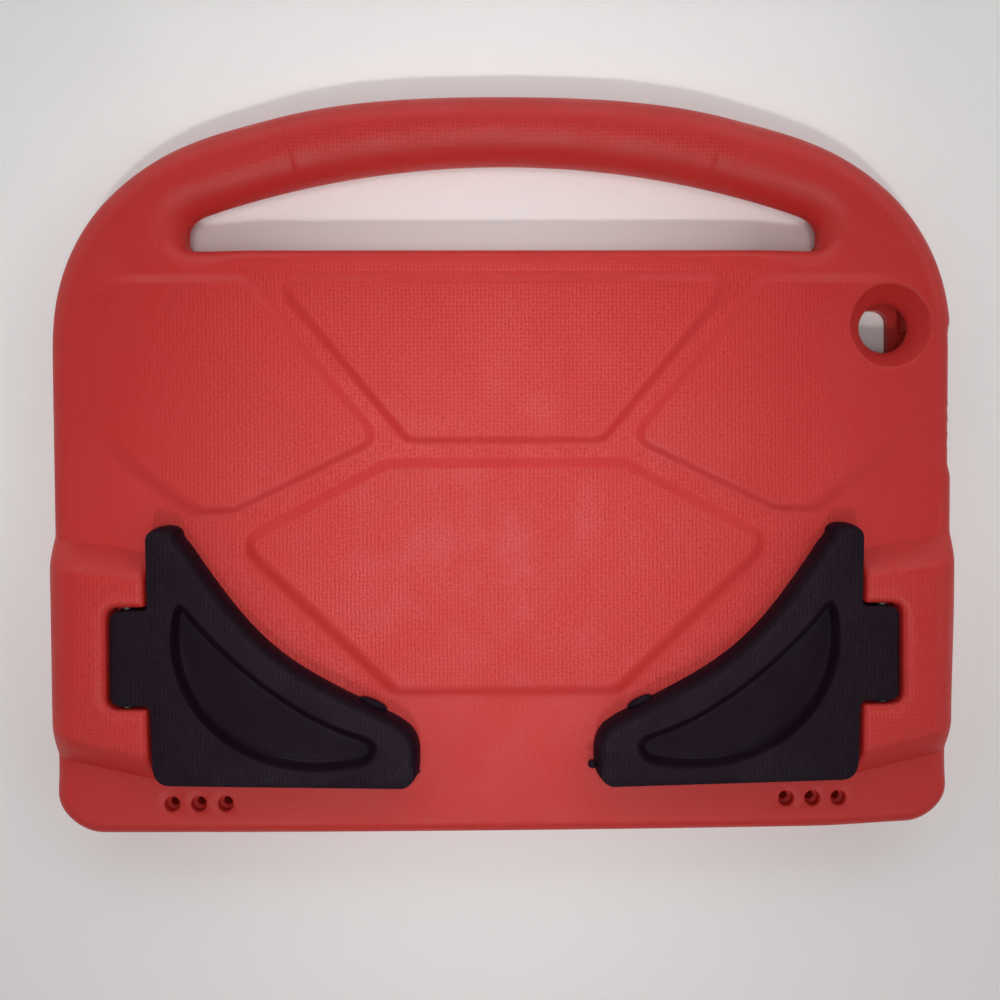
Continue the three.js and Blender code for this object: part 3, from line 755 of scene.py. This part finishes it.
for side in (-1, 1):
    line = foot_lines[side][16:-16]
    beside, _ = nearest_on(plan, np.vstack([line, line[::-1][1:-1]]))
    beyond = (spots[:, 0] * side > block_face_x(plan[:, 1]) + 1) & ~inside(plan, foot_zones[side])
    lighter_share = np.maximum(lighter_share, 0.4 * np.exp(-(((beside - 2.3) / 0.45) ** 2)) * beyond * upper)
write_mask(body, "highlight_and_gloss", lighter_share * upper)
middle = 1 - smooth_step(48, 60, reach)
rows = 0.6 * middle * smooth_step(8, 18, plan[:, 1]) + 0.25 * middle * (1 - smooth_step(8, 18, plan[:, 1]))
rows = np.maximum(rows, 0.9 * smooth_step(64, 68, plan[:, 1]))
write_mask(body, "grid", np.maximum(rows, 0.5 * (1 - smooth_step(-76, -66, plan[:, 1]))))


def new_group(name, inputs, outputs):
    """Shader node group with its own named sockets."""
    group = bpy.data.node_groups.new(name, "ShaderNodeTree")
    for label, kind, value in inputs:
        socket = group.interface.new_socket(name=label, in_out="INPUT", socket_type=kind)
        if value is not None:
            socket.default_value = value
    for label, kind in outputs:
        group.interface.new_socket(name=label, in_out="OUTPUT", socket_type=kind)
    return group, group.nodes.new("NodeGroupInput"), group.nodes.new("NodeGroupOutput")


def math_node(tree, operation, *values):
    node = tree.nodes.new("ShaderNodeMath")
    node.operation = operation
    for socket, value in zip(node.inputs, values):
        if isinstance(value, (int, float)):
            socket.default_value = value
        else:
            tree.links.new(value, socket)
    return node.outputs[0]


def noise_node(tree, vector, scale, detail=2.0, roughness=0.5):
    node = tree.nodes.new("ShaderNodeTexNoise")
    node.inputs["Scale"].default_value = scale
    node.inputs["Detail"].default_value = detail
    node.inputs["Roughness"].default_value = roughness
    tree.links.new(vector, node.inputs["Vector"])
    return node


def mapped(tree, value, low, high, new_low=0.0, new_high=1.0):
    node = tree.nodes.new("ShaderNodeMapRange")
    node.interpolation_type = "SMOOTHSTEP"
    node.inputs["From Min"].default_value = low
    node.inputs["From Max"].default_value = high
    node.inputs["To Min"].default_value = new_low
    node.inputs["To Max"].default_value = new_high
    tree.links.new(value, node.inputs["Value"])
    return node.outputs[0]


def weave_group():
    """Cloth-like texture that the mould presses into the foam: ribs, and cross rows as Grid says."""
    group, given, result = new_group(
        "moulded_weave",
        [
            ("Vector", "NodeSocketVector", None),
            ("Pitch", "NodeSocketFloat", 0.00117),
            ("Amount", "NodeSocketFloat", 1.0),
            ("Grid", "NodeSocketFloat", 0.5),
        ],
        [("Height", "NodeSocketFloat"), ("Pit", "NodeSocketFloat")],
    )
    place = group.nodes.new("ShaderNodeSeparateXYZ")
    group.links.new(given.outputs["Vector"], place.inputs[0])
    sway = noise_node(group, given.outputs["Vector"], 160, 2, 0.6)
    sway = math_node(group, "MULTIPLY_ADD", sway.outputs["Fac"], 3.2, -1.6)
    waves = []
    for axis in "XY":
        turns = math_node(group, "DIVIDE", place.outputs[axis], given.outputs["Pitch"])
        waves.append(math_node(group, "COSINE", math_node(group, "MULTIPLY_ADD", turns, 2 * math.pi, sway)))
    pattern = math_node(group, "MULTIPLY_ADD", waves[1], given.outputs["Grid"], waves[0])
    speckle = noise_node(group, given.outputs["Vector"], 1500, 1, 0.5)
    speckle = math_node(group, "MULTIPLY_ADD", speckle.outputs["Fac"], 7.0, -3.5)
    pattern = math_node(group, "ADD", pattern, speckle)
    pattern = math_node(group, "MULTIPLY", pattern, given.outputs["Amount"])
    # Pit is the share of the darker colour that paints shade into the weave's pits; Height is the same
    # pattern as a bump.
    pit = math_node(group, "MULTIPLY_ADD", pattern, 0.27, 0.5)
    group.links.new(math_node(group, "SUBTRACT", 1.0, pit), result.inputs["Height"])
    group.links.new(pit, result.inputs["Pit"])
    return group


def foam_group():
    """Skin of pressed foam: cloudy colour, fine grain, painted shade in the weave's pits, and painted
    highlights where its mask asks, in patches that also vary the gloss.
    """
    group, given, result = new_group(
        "foam_skin",
        [
            ("Vector", "NodeSocketVector", None),
            ("Base", "NodeSocketColor", (0.5, 0.5, 0.5, 1)),
            ("Pit Shade and Grain", "NodeSocketColor", (0.2, 0.2, 0.2, 1)),
            ("Cloud and Highlight", "NodeSocketColor", (0.6, 0.6, 0.6, 1)),
            ("Pit", "NodeSocketFloat", 0.5),
            ("Painted Highlight", "NodeSocketFloat", 0.0),
        ],
        [("Color", "NodeSocketColor"), ("Roughness", "NodeSocketFloat"), ("Grain", "NodeSocketFloat")],
    )
    cloud = noise_node(group, given.outputs["Vector"], 34, 4, 0.6).outputs["Fac"]
    grain = noise_node(group, given.outputs["Vector"], 1300, 2, 0.6).outputs["Fac"]
    highlight_and_gloss = noise_node(group, given.outputs["Vector"], 75, 4, 0.65).outputs["Fac"]

    def blended(share, low, high):
        mix = group.nodes.new("ShaderNodeMix")
        mix.data_type = "RGBA"
        group.links.new(share, mix.inputs["Factor"])
        group.links.new(low, mix.inputs["A"])
        group.links.new(high, mix.inputs["B"])
        return mix.outputs["Result"]

    # Painted highlights, broken into patches, and a little random cloudy tone pull the colour towards the
    # lighter one.
    lighter_share = math_node(group, "MULTIPLY", given.outputs["Painted Highlight"], mapped(group, highlight_and_gloss, 0.3, 0.6, 0.55, 1.2))
    lighter_share = math_node(group, "ADD", lighter_share, mapped(group, cloud, 0.45, 0.75, 0.0, 0.1))
    tone = blended(lighter_share, given.outputs["Base"], given.outputs["Cloud and Highlight"])
    speck = math_node(group, "MULTIPLY_ADD", grain, 0.5, -0.25)
    # The pits are painted towards the darker colour and the crests left lighter, standing in for the weave's
    # shade and sheen; the grain adds random specks.
    shade = math_node(group, "ADD", given.outputs["Pit"], speck)
    group.links.new(blended(shade, tone, given.outputs["Pit Shade and Grain"]), result.inputs["Color"])
    group.links.new(mapped(group, highlight_and_gloss, 0.35, 0.7, 0.58, 0.46), result.inputs["Roughness"])
    group.links.new(grain, result.inputs["Grain"])
    return group


weave_nodes = weave_group()
skin_nodes = foam_group()


def foam_material(name, base, pit_shade_and_grain, cloud_and_highlight, pitch, weave_depth):
    """Pressed foam, with the mould's weave where the mesh's own mask asks for it."""
    material = bpy.data.materials.new(name)
    material.use_nodes = True
    tree = material.node_tree
    shader = tree.nodes["Principled BSDF"]
    place = tree.nodes.new("ShaderNodeTexCoord").outputs["Object"]
    knit = tree.nodes.new("ShaderNodeGroup")
    knit.node_tree = weave_nodes
    knit.inputs["Pitch"].default_value = pitch
    tree.links.new(place, knit.inputs["Vector"])
    skin = tree.nodes.new("ShaderNodeGroup")
    skin.node_tree = skin_nodes
    masks = {"weave": knit.inputs["Amount"], "grid": knit.inputs["Grid"], "highlight_and_gloss": skin.inputs["Painted Highlight"]}
    for mask, socket in masks.items():
        reader = tree.nodes.new("ShaderNodeAttribute")
        reader.attribute_name = mask
        tree.links.new(reader.outputs["Fac"], socket)
    # The second colour paints shade into the weave's pits; the third is the lighter tone for cloudy patches
    # and painted highlights.
    skin.inputs["Base"].default_value = (*base, 1)
    skin.inputs["Pit Shade and Grain"].default_value = (*pit_shade_and_grain, 1)
    skin.inputs["Cloud and Highlight"].default_value = (*cloud_and_highlight, 1)
    tree.links.new(place, skin.inputs["Vector"])
    tree.links.new(knit.outputs["Pit"], skin.inputs["Pit"])
    tree.links.new(skin.outputs["Color"], shader.inputs["Base Color"])
    tree.links.new(skin.outputs["Roughness"], shader.inputs["Roughness"])
    grain = tree.nodes.new("ShaderNodeBump")
    grain.inputs["Distance"].default_value = 0.00003
    tree.links.new(skin.outputs["Grain"], grain.inputs["Height"])
    weave = tree.nodes.new("ShaderNodeBump")
    weave.inputs["Distance"].default_value = weave_depth
    tree.links.new(knit.outputs["Height"], weave.inputs["Height"])
    tree.links.new(grain.outputs["Normal"], weave.inputs["Normal"])
    tree.links.new(weave.outputs["Normal"], shader.inputs["Normal"])
    return material


weave_pitch = 0.00117
# Red foam: its own red, a darker red that paints shade into the weave's pits, and a lighter red for cloudy
# patches and painted highlights.
red_foam = foam_material(
    "red_moulded_foam", (0.54, 0.036, 0.031), (0.42, 0.003, 0.002), (0.66, 0.095, 0.08), weave_pitch, 0.00005
)
red_foam.node_tree.nodes["Principled BSDF"].inputs["Specular IOR Level"].default_value = 0.4
dress(body, red_foam)
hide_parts("foam_body")
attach(body, "case")

# Stand feet
# Two black EVA foam plates with one curved side, each with a tab that fills the notch in its hinge
# block and a crescent pressed into its face. Both swing on a hidden pin.
foot_bottom = 18.8
foot_thick = 7.7
foot_reach = 84.2
tab_half = 13.95
tab_reach = 4.6
tab_corner = 4.8
foot_edge = [[0.206, 0.851], [0.456, 0.019], [0.527, -0.06], [0.919, -0.483]]
foot_toe = [[0.959, -0.541], [0.995, -0.608], [1, -0.726]]
foot_toe_corner = [[1, -0.843], [1, -0.948], [0.948, -1]]
rim_shape = {
    "convex": [[0.178, 0.406], [0.081, -0.201], [0.33, -1.037], [0.817, -0.828]],
    "toe": [0.903, -0.679],
    "concave": [[0.822, -0.59], [0.639, -0.488], [0.401, -0.123], [0.221, 0.366]],
    "tip": [0.188, 0.443],
}
floor_shape = {
    "convex": [[0.182, 0.326], [0.14, -0.305], [0.354, -0.958], [0.803, -0.768]],
    "toe": [0.847, -0.716],
    "concave": [[0.792, -0.655], [0.62, -0.547], [0.38, -0.181], [0.205, 0.27]],
    "tip": [0.19, 0.355],
}


def foot_point(shares):
    across, up = shares
    return (across * foot_reach, up * (foot_rise if up > 0 else foot_drop))


def foot_outline():
    """A foot's edge seen from above, with the hinge axis at the left and the solid on the line's left."""
    heel = foot_side(-foot_drop + 6)
    low = -foot_drop + 1.4
    side = foot_side(tab_half)
    tab_bend = tab_corner - tab_reach
    rows = [
        bezier([(-tab_reach, 9.2), (-tab_reach, tab_half), (tab_bend, tab_half)], 10),
        bezier([(tab_bend, tab_half), (side - 1, tab_half)], 5),
        bezier([(side - 1, tab_half), (side, tab_half), (side, tab_half + 1)], 5),
        bezier([(side, tab_half + 1), (foot_top_side, foot_rise - 4.6)], 12),
        bezier([(foot_top_side, foot_rise - 4.6), (foot_top_side, foot_rise), (11.12, foot_rise)], 12),
        bezier([(11.12, foot_rise), (15.35, foot_rise), (15.35, foot_rise - 3)], 9),
        bezier([(15.35, foot_rise - 3), (15.9, foot_rise - 4.2), foot_point(foot_edge[0])], 4),
        bezier([foot_point(p) for p in foot_edge], 60),
        bezier([foot_point(foot_edge[-1]), foot_point(foot_toe[0])], 3),
        bezier([foot_point(p) for p in foot_toe], 12),
        bezier([foot_point(foot_toe[-1]), foot_point(foot_toe_corner[0])], 3),
        bezier([foot_point(p) for p in foot_toe_corner], 10),
        bezier([foot_point(foot_toe_corner[-1]), (heel + 6, low)], 60),
        bezier([(heel + 6, low), (heel, low), (heel, low + 6)], 12),
        bezier([(heel, low + 6), (foot_side(-tab_half), -tab_half - 1)], 12),
    ]
    side = foot_side(-tab_half)
    rows.append(bezier([(side, -tab_half - 1), (side, -tab_half), (side - 1, -tab_half)], 5))
    rows.append(bezier([(side - 1, -tab_half), (tab_bend, -tab_half)], 5))
    rows.append(bezier([(tab_bend, -tab_half), (-tab_reach, -tab_half), (-tab_reach, -9.2)], 10))
    rows.append(bezier([(-tab_reach, -9.2), (-tab_reach, 9.2)], 12))
    return resampled(np.vstack(rows)[::-1], 1.0)


def foot_softness(spot):
    """Width of the rounding of a foot's top edge: wide along the curved side, crisp elsewhere."""
    return 0.5 + 2.5 * smooth_step(6.3, 10.5, spot[:, 0]) * smooth_step(-37.4, -31, spot[:, 1])


def crescent(shape):
    """Closed line of the pressed crescent."""
    convex = [foot_point(p) for p in shape["convex"]]
    concave = [foot_point(p) for p in shape["concave"]]
    parts = [
        bezier(convex, 70),
        bezier([convex[-1], foot_point(shape["toe"]), concave[0]], 16),
        bezier(concave, 55),
        bezier([concave[-1], foot_point(shape["tip"]), convex[0]], 10),
    ]
    return np.vstack(parts)


crescent_rim = crescent(rim_shape)
crescent_floor = crescent(floor_shape)
crescent_depth = 4.0


def foot_height(points):
    """Height of a foot's face, with its soft edge and its crescent."""
    away, spot = nearest_on(points, foot_line)
    share = np.clip(away / foot_softness(spot), 0, 1)
    height = foot_bottom + foot_thick * np.interp(share, *foot_section)
    from_rim, _ = nearest_on(points, crescent_rim)
    from_floor, _ = nearest_on(points, crescent_floor)
    in_rim = inside(points, crescent_rim)
    in_floor = inside(points, crescent_floor)
    down = np.where(in_floor, 1, np.where(in_rim, from_rim / (from_rim + from_floor + 1e-9), 0))
    down = down - 0.09 * np.sin(2 * math.pi * down)
    return height - crescent_depth * down


foot_line = foot_outline()
section_turn = np.linspace(0, math.pi / 2, 16)
foot_section = (1 - np.cos(section_turn), 0.28 + 0.72 * np.sin(section_turn))


def foot_mesh(side):
    """One foot with its tab, its soft edge and its crescent."""
    crescents = [
        (crescent_rim * (1 - share) + crescent_floor * share, True)
        for share in (-0.12, 0.0, 0.08, 0.2, 0.4, 0.6, 0.8, 0.92, 1.0, 1.12)
    ]
    borders = [(foot_line, foot_softness(foot_line))]
    top = plan_mesh(borders, crescents, grid_points((-5, -40), (86, 40), 3.0), 3.2)
    plain_border = [(foot_line, np.full(len(foot_line), 0.3))]
    under = plan_mesh(plain_border, [], grid_points((-5, -40), (86, 40), 8.0), 3)
    verts, faces = closed_solid(top, foot_height(top[0]), under, np.full(len(under[0]), foot_bottom))
    placed = np.column_stack([side * (hinge_x - verts[:, 0]), tab_y + verts[:, 1], verts[:, 2]])
    return placed, faces


def tab_section(side):
    """Solid along the hinge axis that rounds the end of the tab."""
    half, corner, end = foot_thick / 2, 3.2, -tab_reach
    section = [
        np.array([[90.0, -half]]),
        bezier([(end + corner, -half), (end, -half), (end, -half + corner)], 10),
        bezier([(end, half - corner), (end, half), (end + corner, half)], 10),
        np.array([[end + corner, half], [90.0, half]]),
    ]
    line = np.vstack(section)
    count = len(line)
    verts = []
    for y in (tab_y - 60, tab_y + 60):
        verts += [(side * (hinge_x - u), y, hinge_z + w) for u, w in line]
    faces = [tuple(range(count)), tuple(range(count, 2 * count))[::-1]]
    faces += [(i, count + i, count + (i + 1) % count, (i + 1) % count) for i in range(count)]
    return mesh_object("tab_section", verts, faces)


def nib(centre, reach, turn):
    """Small smooth lump that the moulding leaves on an edge, turned about the vertical."""
    tilts, sides = 8, 14
    tilt, angle = np.meshgrid(math.pi * np.arange(1, tilts) / tilts, 2 * math.pi * np.arange(sides) / sides)
    tilt, angle = tilt.T.ravel(), angle.T.ravel()
    ball = np.column_stack([np.sin(tilt) * np.cos(angle), np.sin(tilt) * np.sin(angle), np.cos(tilt)])
    ball = np.vstack([ball, [[0, 0, 1], [0, 0, -1]]]) * reach
    c, s = math.cos(turn), math.sin(turn)
    verts = np.column_stack([c * ball[:, 0] - s * ball[:, 1], s * ball[:, 0] + c * ball[:, 1], ball[:, 2]])
    top, last = len(ball) - 2, (tilts - 2) * sides
    faces = []
    for j in range(sides):
        k = (j + 1) % sides
        faces += [(top, j, k), (top + 1, last + k, last + j)]
        for i in range(tilts - 2):
            faces.append((i * sides + j, (i + 1) * sides + j, (i + 1) * sides + k, i * sides + k))
    return mesh_object("nib", verts + centre, faces)


nibs = {
    -1: [((-39.1, -70.67, 20.4), (4.5, 1.3, 1.2), -0.42), ((-26.1, -90.3, 21.6), (0.8, 0.6, 0.8), 0.8)],
    1: [
        ((39.1, -70.67, 20.4), (4.1, 1.3, 1.2), 0.42),
        ((24.6, -88.0, 23.4), (1.25, 1.35, 1.2), 0.3),
        ((25.9, -89.0, 22.4), (1.3, 0.7, 0.7), -0.6),
    ],
}
# Black foam: its own purplish black, a darker black that paints shade into the weave's pits, and a grey for
# cloudy patches and painted highlights.
black_foam = foam_material(
    "black_moulded_foam",
    (0.0118, 0.0052, 0.0106), (0.006, 0.0016, 0.0056), (0.08, 0.07, 0.08), weave_pitch, 0.00006
)
black_foam.node_tree.nodes["Principled BSDF"].inputs["Specular IOR Level"].default_value = 0.08
for side, label in ((-1, "left"), (1, "right")):
    verts, faces = foot_mesh(side)
    foot = mesh_object(f"{label}_moulded_foot", verts, faces)
    combine(foot, tab_section(side), "INTERSECT")
    combine(foot, rod("bore", side, bore_radius, tab_y - 30, tab_y + 30, 24), "DIFFERENCE")
    for centre, reach, turn in nibs[side]:
        combine(foot, nib(centre, reach, turn), "UNION")
    smooth_shading(foot, 42)
    spots = read_points(foot)
    local = np.column_stack([hinge_x - side * spots[:, 0], spots[:, 1] - tab_y])
    away, _ = nearest_on(local, crescent_rim)
    in_recess = inside(local, crescent_rim)
    face = smooth_step(foot_top - 0.6, foot_top - 0.1, spots[:, 2])
    ribs = face * smooth_step(0.6, 2.2, away) * ~in_recess
    write_mask(foot, "weave", 0.1 + 0.5 * ribs)
    # Painted highlights on the feet: a thin light line where the crescent's wall meets its floor, a light
    # band along the top of the soft curved edge, and a light band just outside the crescent's rim; the rest
    # of the face is a touch lighter than the recess.
    edge, spot = nearest_on(local, foot_line)
    floor_edge, _ = nearest_on(local, crescent_floor)
    bend = smooth_step(2, 8, spot[:, 0]) * smooth_step(-37, -30, spot[:, 1])
    line = np.exp(-((floor_edge / 0.3) ** 2)) * smooth_step(1.5, 2.1, away) * in_recess
    painted_edge_highlight = 0.1 * np.exp(-(((edge - 3.4) / 0.6) ** 2)) * bend
    painted_edge_highlight = np.maximum(painted_edge_highlight, 0.07 * np.exp(-(((away - 0.7) / 0.6) ** 2)) * ~in_recess)
    write_mask(foot, "highlight_and_gloss", np.maximum(np.where(in_recess, 0.25 * line, 0.07 * face), painted_edge_highlight * face))
    write_mask(foot, "grid", np.zeros(len(spots)))
    dress(foot, black_foam)
    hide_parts(f"{label}_stand_foot")
    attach(foot, f"{label}_foot")

# Hinge pins
# Plain steel rods, pushed through the tab and gripped in the foam at both ends. They keep the CAD
# solids, with a drawn-steel finish.
pin_steel = bpy.data.materials.new("drawn_pin_steel")
pin_steel.use_nodes = True
tree = pin_steel.node_tree
shader = tree.nodes["Principled BSDF"]
shader.inputs["Metallic"].default_value = 1.0
place = tree.nodes.new("ShaderNodeTexCoord").outputs["Object"]
stretch = tree.nodes.new("ShaderNodeMapping")
stretch.inputs["Scale"].default_value = (1.0, 0.04, 1.0)
tree.links.new(place, stretch.inputs["Vector"])
lines = noise_node(tree, stretch.outputs[0], 4200, 3, 0.6).outputs["Fac"]
tone = tree.nodes.new("ShaderNodeMix")
tone.data_type = "RGBA"
tone.inputs["A"].default_value = (0.1, 0.1, 0.105, 1)
tone.inputs["B"].default_value = (0.16, 0.16, 0.165, 1)
tree.links.new(lines, tone.inputs["Factor"])
tree.links.new(tone.outputs["Result"], shader.inputs["Base Color"])
tree.links.new(mapped(tree, lines, 0.3, 0.7, 0.4, 0.56), shader.inputs["Roughness"])
for label in ("left_hinge_pin", "right_hinge_pin"):
    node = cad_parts[label]
    node.data.materials.clear()
    node.data.materials.append(pin_steel)

# Table
# A plain white sheet of laminate under the case, which takes its soft shadow and a little of its
# red. Its colour is painted lighter beyond the handle and darker towards the case's bottom, as painted shade.
sheet = bpy.data.meshes.new("table_top")
corners = [(x, y, -0.0002) for x, y in ((-6, -6), (6, -6), (6, 6), (-6, 6))]
sheet.from_pydata(corners, [], [(0, 1, 2, 3)])
table = bpy.data.objects.new("table_top", sheet)
scene.collection.objects.link(table)
white = bpy.data.materials.new("white_laminate")
white.use_nodes = True
tree = white.node_tree
shader = tree.nodes["Principled BSDF"]
shader.inputs["Specular IOR Level"].default_value = 0.3
place = tree.nodes.new("ShaderNodeTexCoord").outputs["Object"]
cloud = noise_node(tree, place, 3.0, 2, 0.5).outputs["Fac"]
along = tree.nodes.new("ShaderNodeSeparateXYZ")
tree.links.new(place, along.inputs[0])
# Painted shade: the sheet's colour darkens from beyond the handle towards the bottom, standing in for the
# light falling off across the table.
shade = mapped(tree, along.outputs["Y"], -0.14, 0.13, 0, 1)
shade = math_node(tree, "ADD", shade, mapped(tree, cloud, 0.3, 0.7, -0.06, 0.06))
tone = tree.nodes.new("ShaderNodeMix")
tone.data_type = "RGBA"
tone.inputs["A"].default_value = (0.87, 0.85, 0.85, 1)
tone.inputs["B"].default_value = (0.965, 0.975, 0.97, 1)
tree.links.new(shade, tone.inputs["Factor"])
tree.links.new(tone.outputs["Result"], shader.inputs["Base Color"])
tree.links.new(mapped(tree, cloud, 0.3, 0.7, 0.5, 0.6), shader.inputs["Roughness"])
sheet.materials.append(white)

# Light
# A wide softbox beside the lens, a ceiling lamp behind the photographer with a narrow beam on the
# handle, which throw the crisp edge of the shadow, and four pale walls that glow by height.


def add_lamp(name, place, size, watts, spread):
    """Round lamp that faces the case."""
    data = bpy.data.lights.new(name, "AREA")
    data.shape = "DISK"
    data.size = size
    data.energy = watts
    data.spread = math.radians(spread)
    data.color = (1.0, 0.985, 0.97)
    lamp = bpy.data.objects.new(name, data)
    lamp.location = place
    aim = Vector((place[0], place[1], 0)) if place[2] < 1 else Vector((0, 0.15, 0))
    lamp.rotation_euler = (aim - Vector(place)).to_track_quat("-Z", "Y").to_euler()
    scene.collection.objects.link(lamp)


ramp_scale = 0.28
wall_level = 4.0


def wall_glow(tree, axis, sign, height, stops):
    """Light from one side of the room: by height, fading towards the other sides."""
    ramp = tree.nodes.new("ShaderNodeValToRGB")
    ramp.color_ramp.interpolation = "LINEAR"
    for index, (place, value) in enumerate(stops):
        stop = ramp.color_ramp.elements[index] if index < 2 else ramp.color_ramp.elements.new(place)
        stop.position = place
        stop.color = (value * ramp_scale, value * ramp_scale, value * ramp_scale, 1)
    tree.links.new(height, ramp.inputs["Fac"])
    facing = math_node(tree, "MAXIMUM", math_node(tree, "MULTIPLY", axis, sign), 0.0)
    level = math_node(tree, "SUBTRACT", 1.0, math_node(tree, "MULTIPLY", height, height))
    squared = math_node(tree, "MULTIPLY", facing, facing)
    share = math_node(tree, "DIVIDE", squared, math_node(tree, "MAXIMUM", level, 0.01))
    return math_node(tree, "MULTIPLY", share, math_node(tree, "MULTIPLY", ramp.outputs["Color"], wall_level))


add_lamp("softbox", (-0.006, -0.02, 0.335), 0.2, 0.085, 60)
add_lamp("ceiling_lamp", (-0.05, -1.52, 2.05), 0.16, 10.5, 180)
add_lamp("ceiling_spot", (-0.05, -1.52, 2.05), 0.16, 0.034, 10)
backdrop_level = 0.72
room = bpy.data.worlds.new("room")
room.use_nodes = True
tree = room.node_tree
sky = tree.nodes.new("ShaderNodeSeparateXYZ")
tree.links.new(tree.nodes.new("ShaderNodeTexCoord").outputs["Generated"], sky.inputs[0])
x, y, height = sky.outputs["X"], sky.outputs["Y"], sky.outputs["Z"]
glow = wall_glow(tree, y, -1, height, [(0.6, 0), (0.97, 0), (0.74, 1.25), (0.87, 0.6)])
for more in (
    wall_glow(tree, y, 1, height, [(0.0, 0), (0.74, 0), (0.375, 1.9), (0.59, 1.6)]),
    wall_glow(tree, x, 1, height, [(0.0, 0), (0.74, 0), (0.375, 0.4), (0.59, 1.6)]),
    wall_glow(tree, x, -1, height, [(0.0, 0), (0.74, 0), (0.375, 0.9), (0.59, 0.5)]),
):
    glow = math_node(tree, "ADD", glow, more)
seen = tree.nodes.new("ShaderNodeLightPath").outputs["Is Camera Ray"]
glow = math_node(tree, "MULTIPLY", glow, math_node(tree, "SUBTRACT", 1.0, seen))
glow = math_node(tree, "MULTIPLY_ADD", seen, backdrop_level, glow)
tree.nodes["Background"].inputs["Color"].default_value = (1.0, 0.98, 0.98, 1)
tree.links.new(glow, tree.nodes["Background"].inputs["Strength"])
scene.world = room
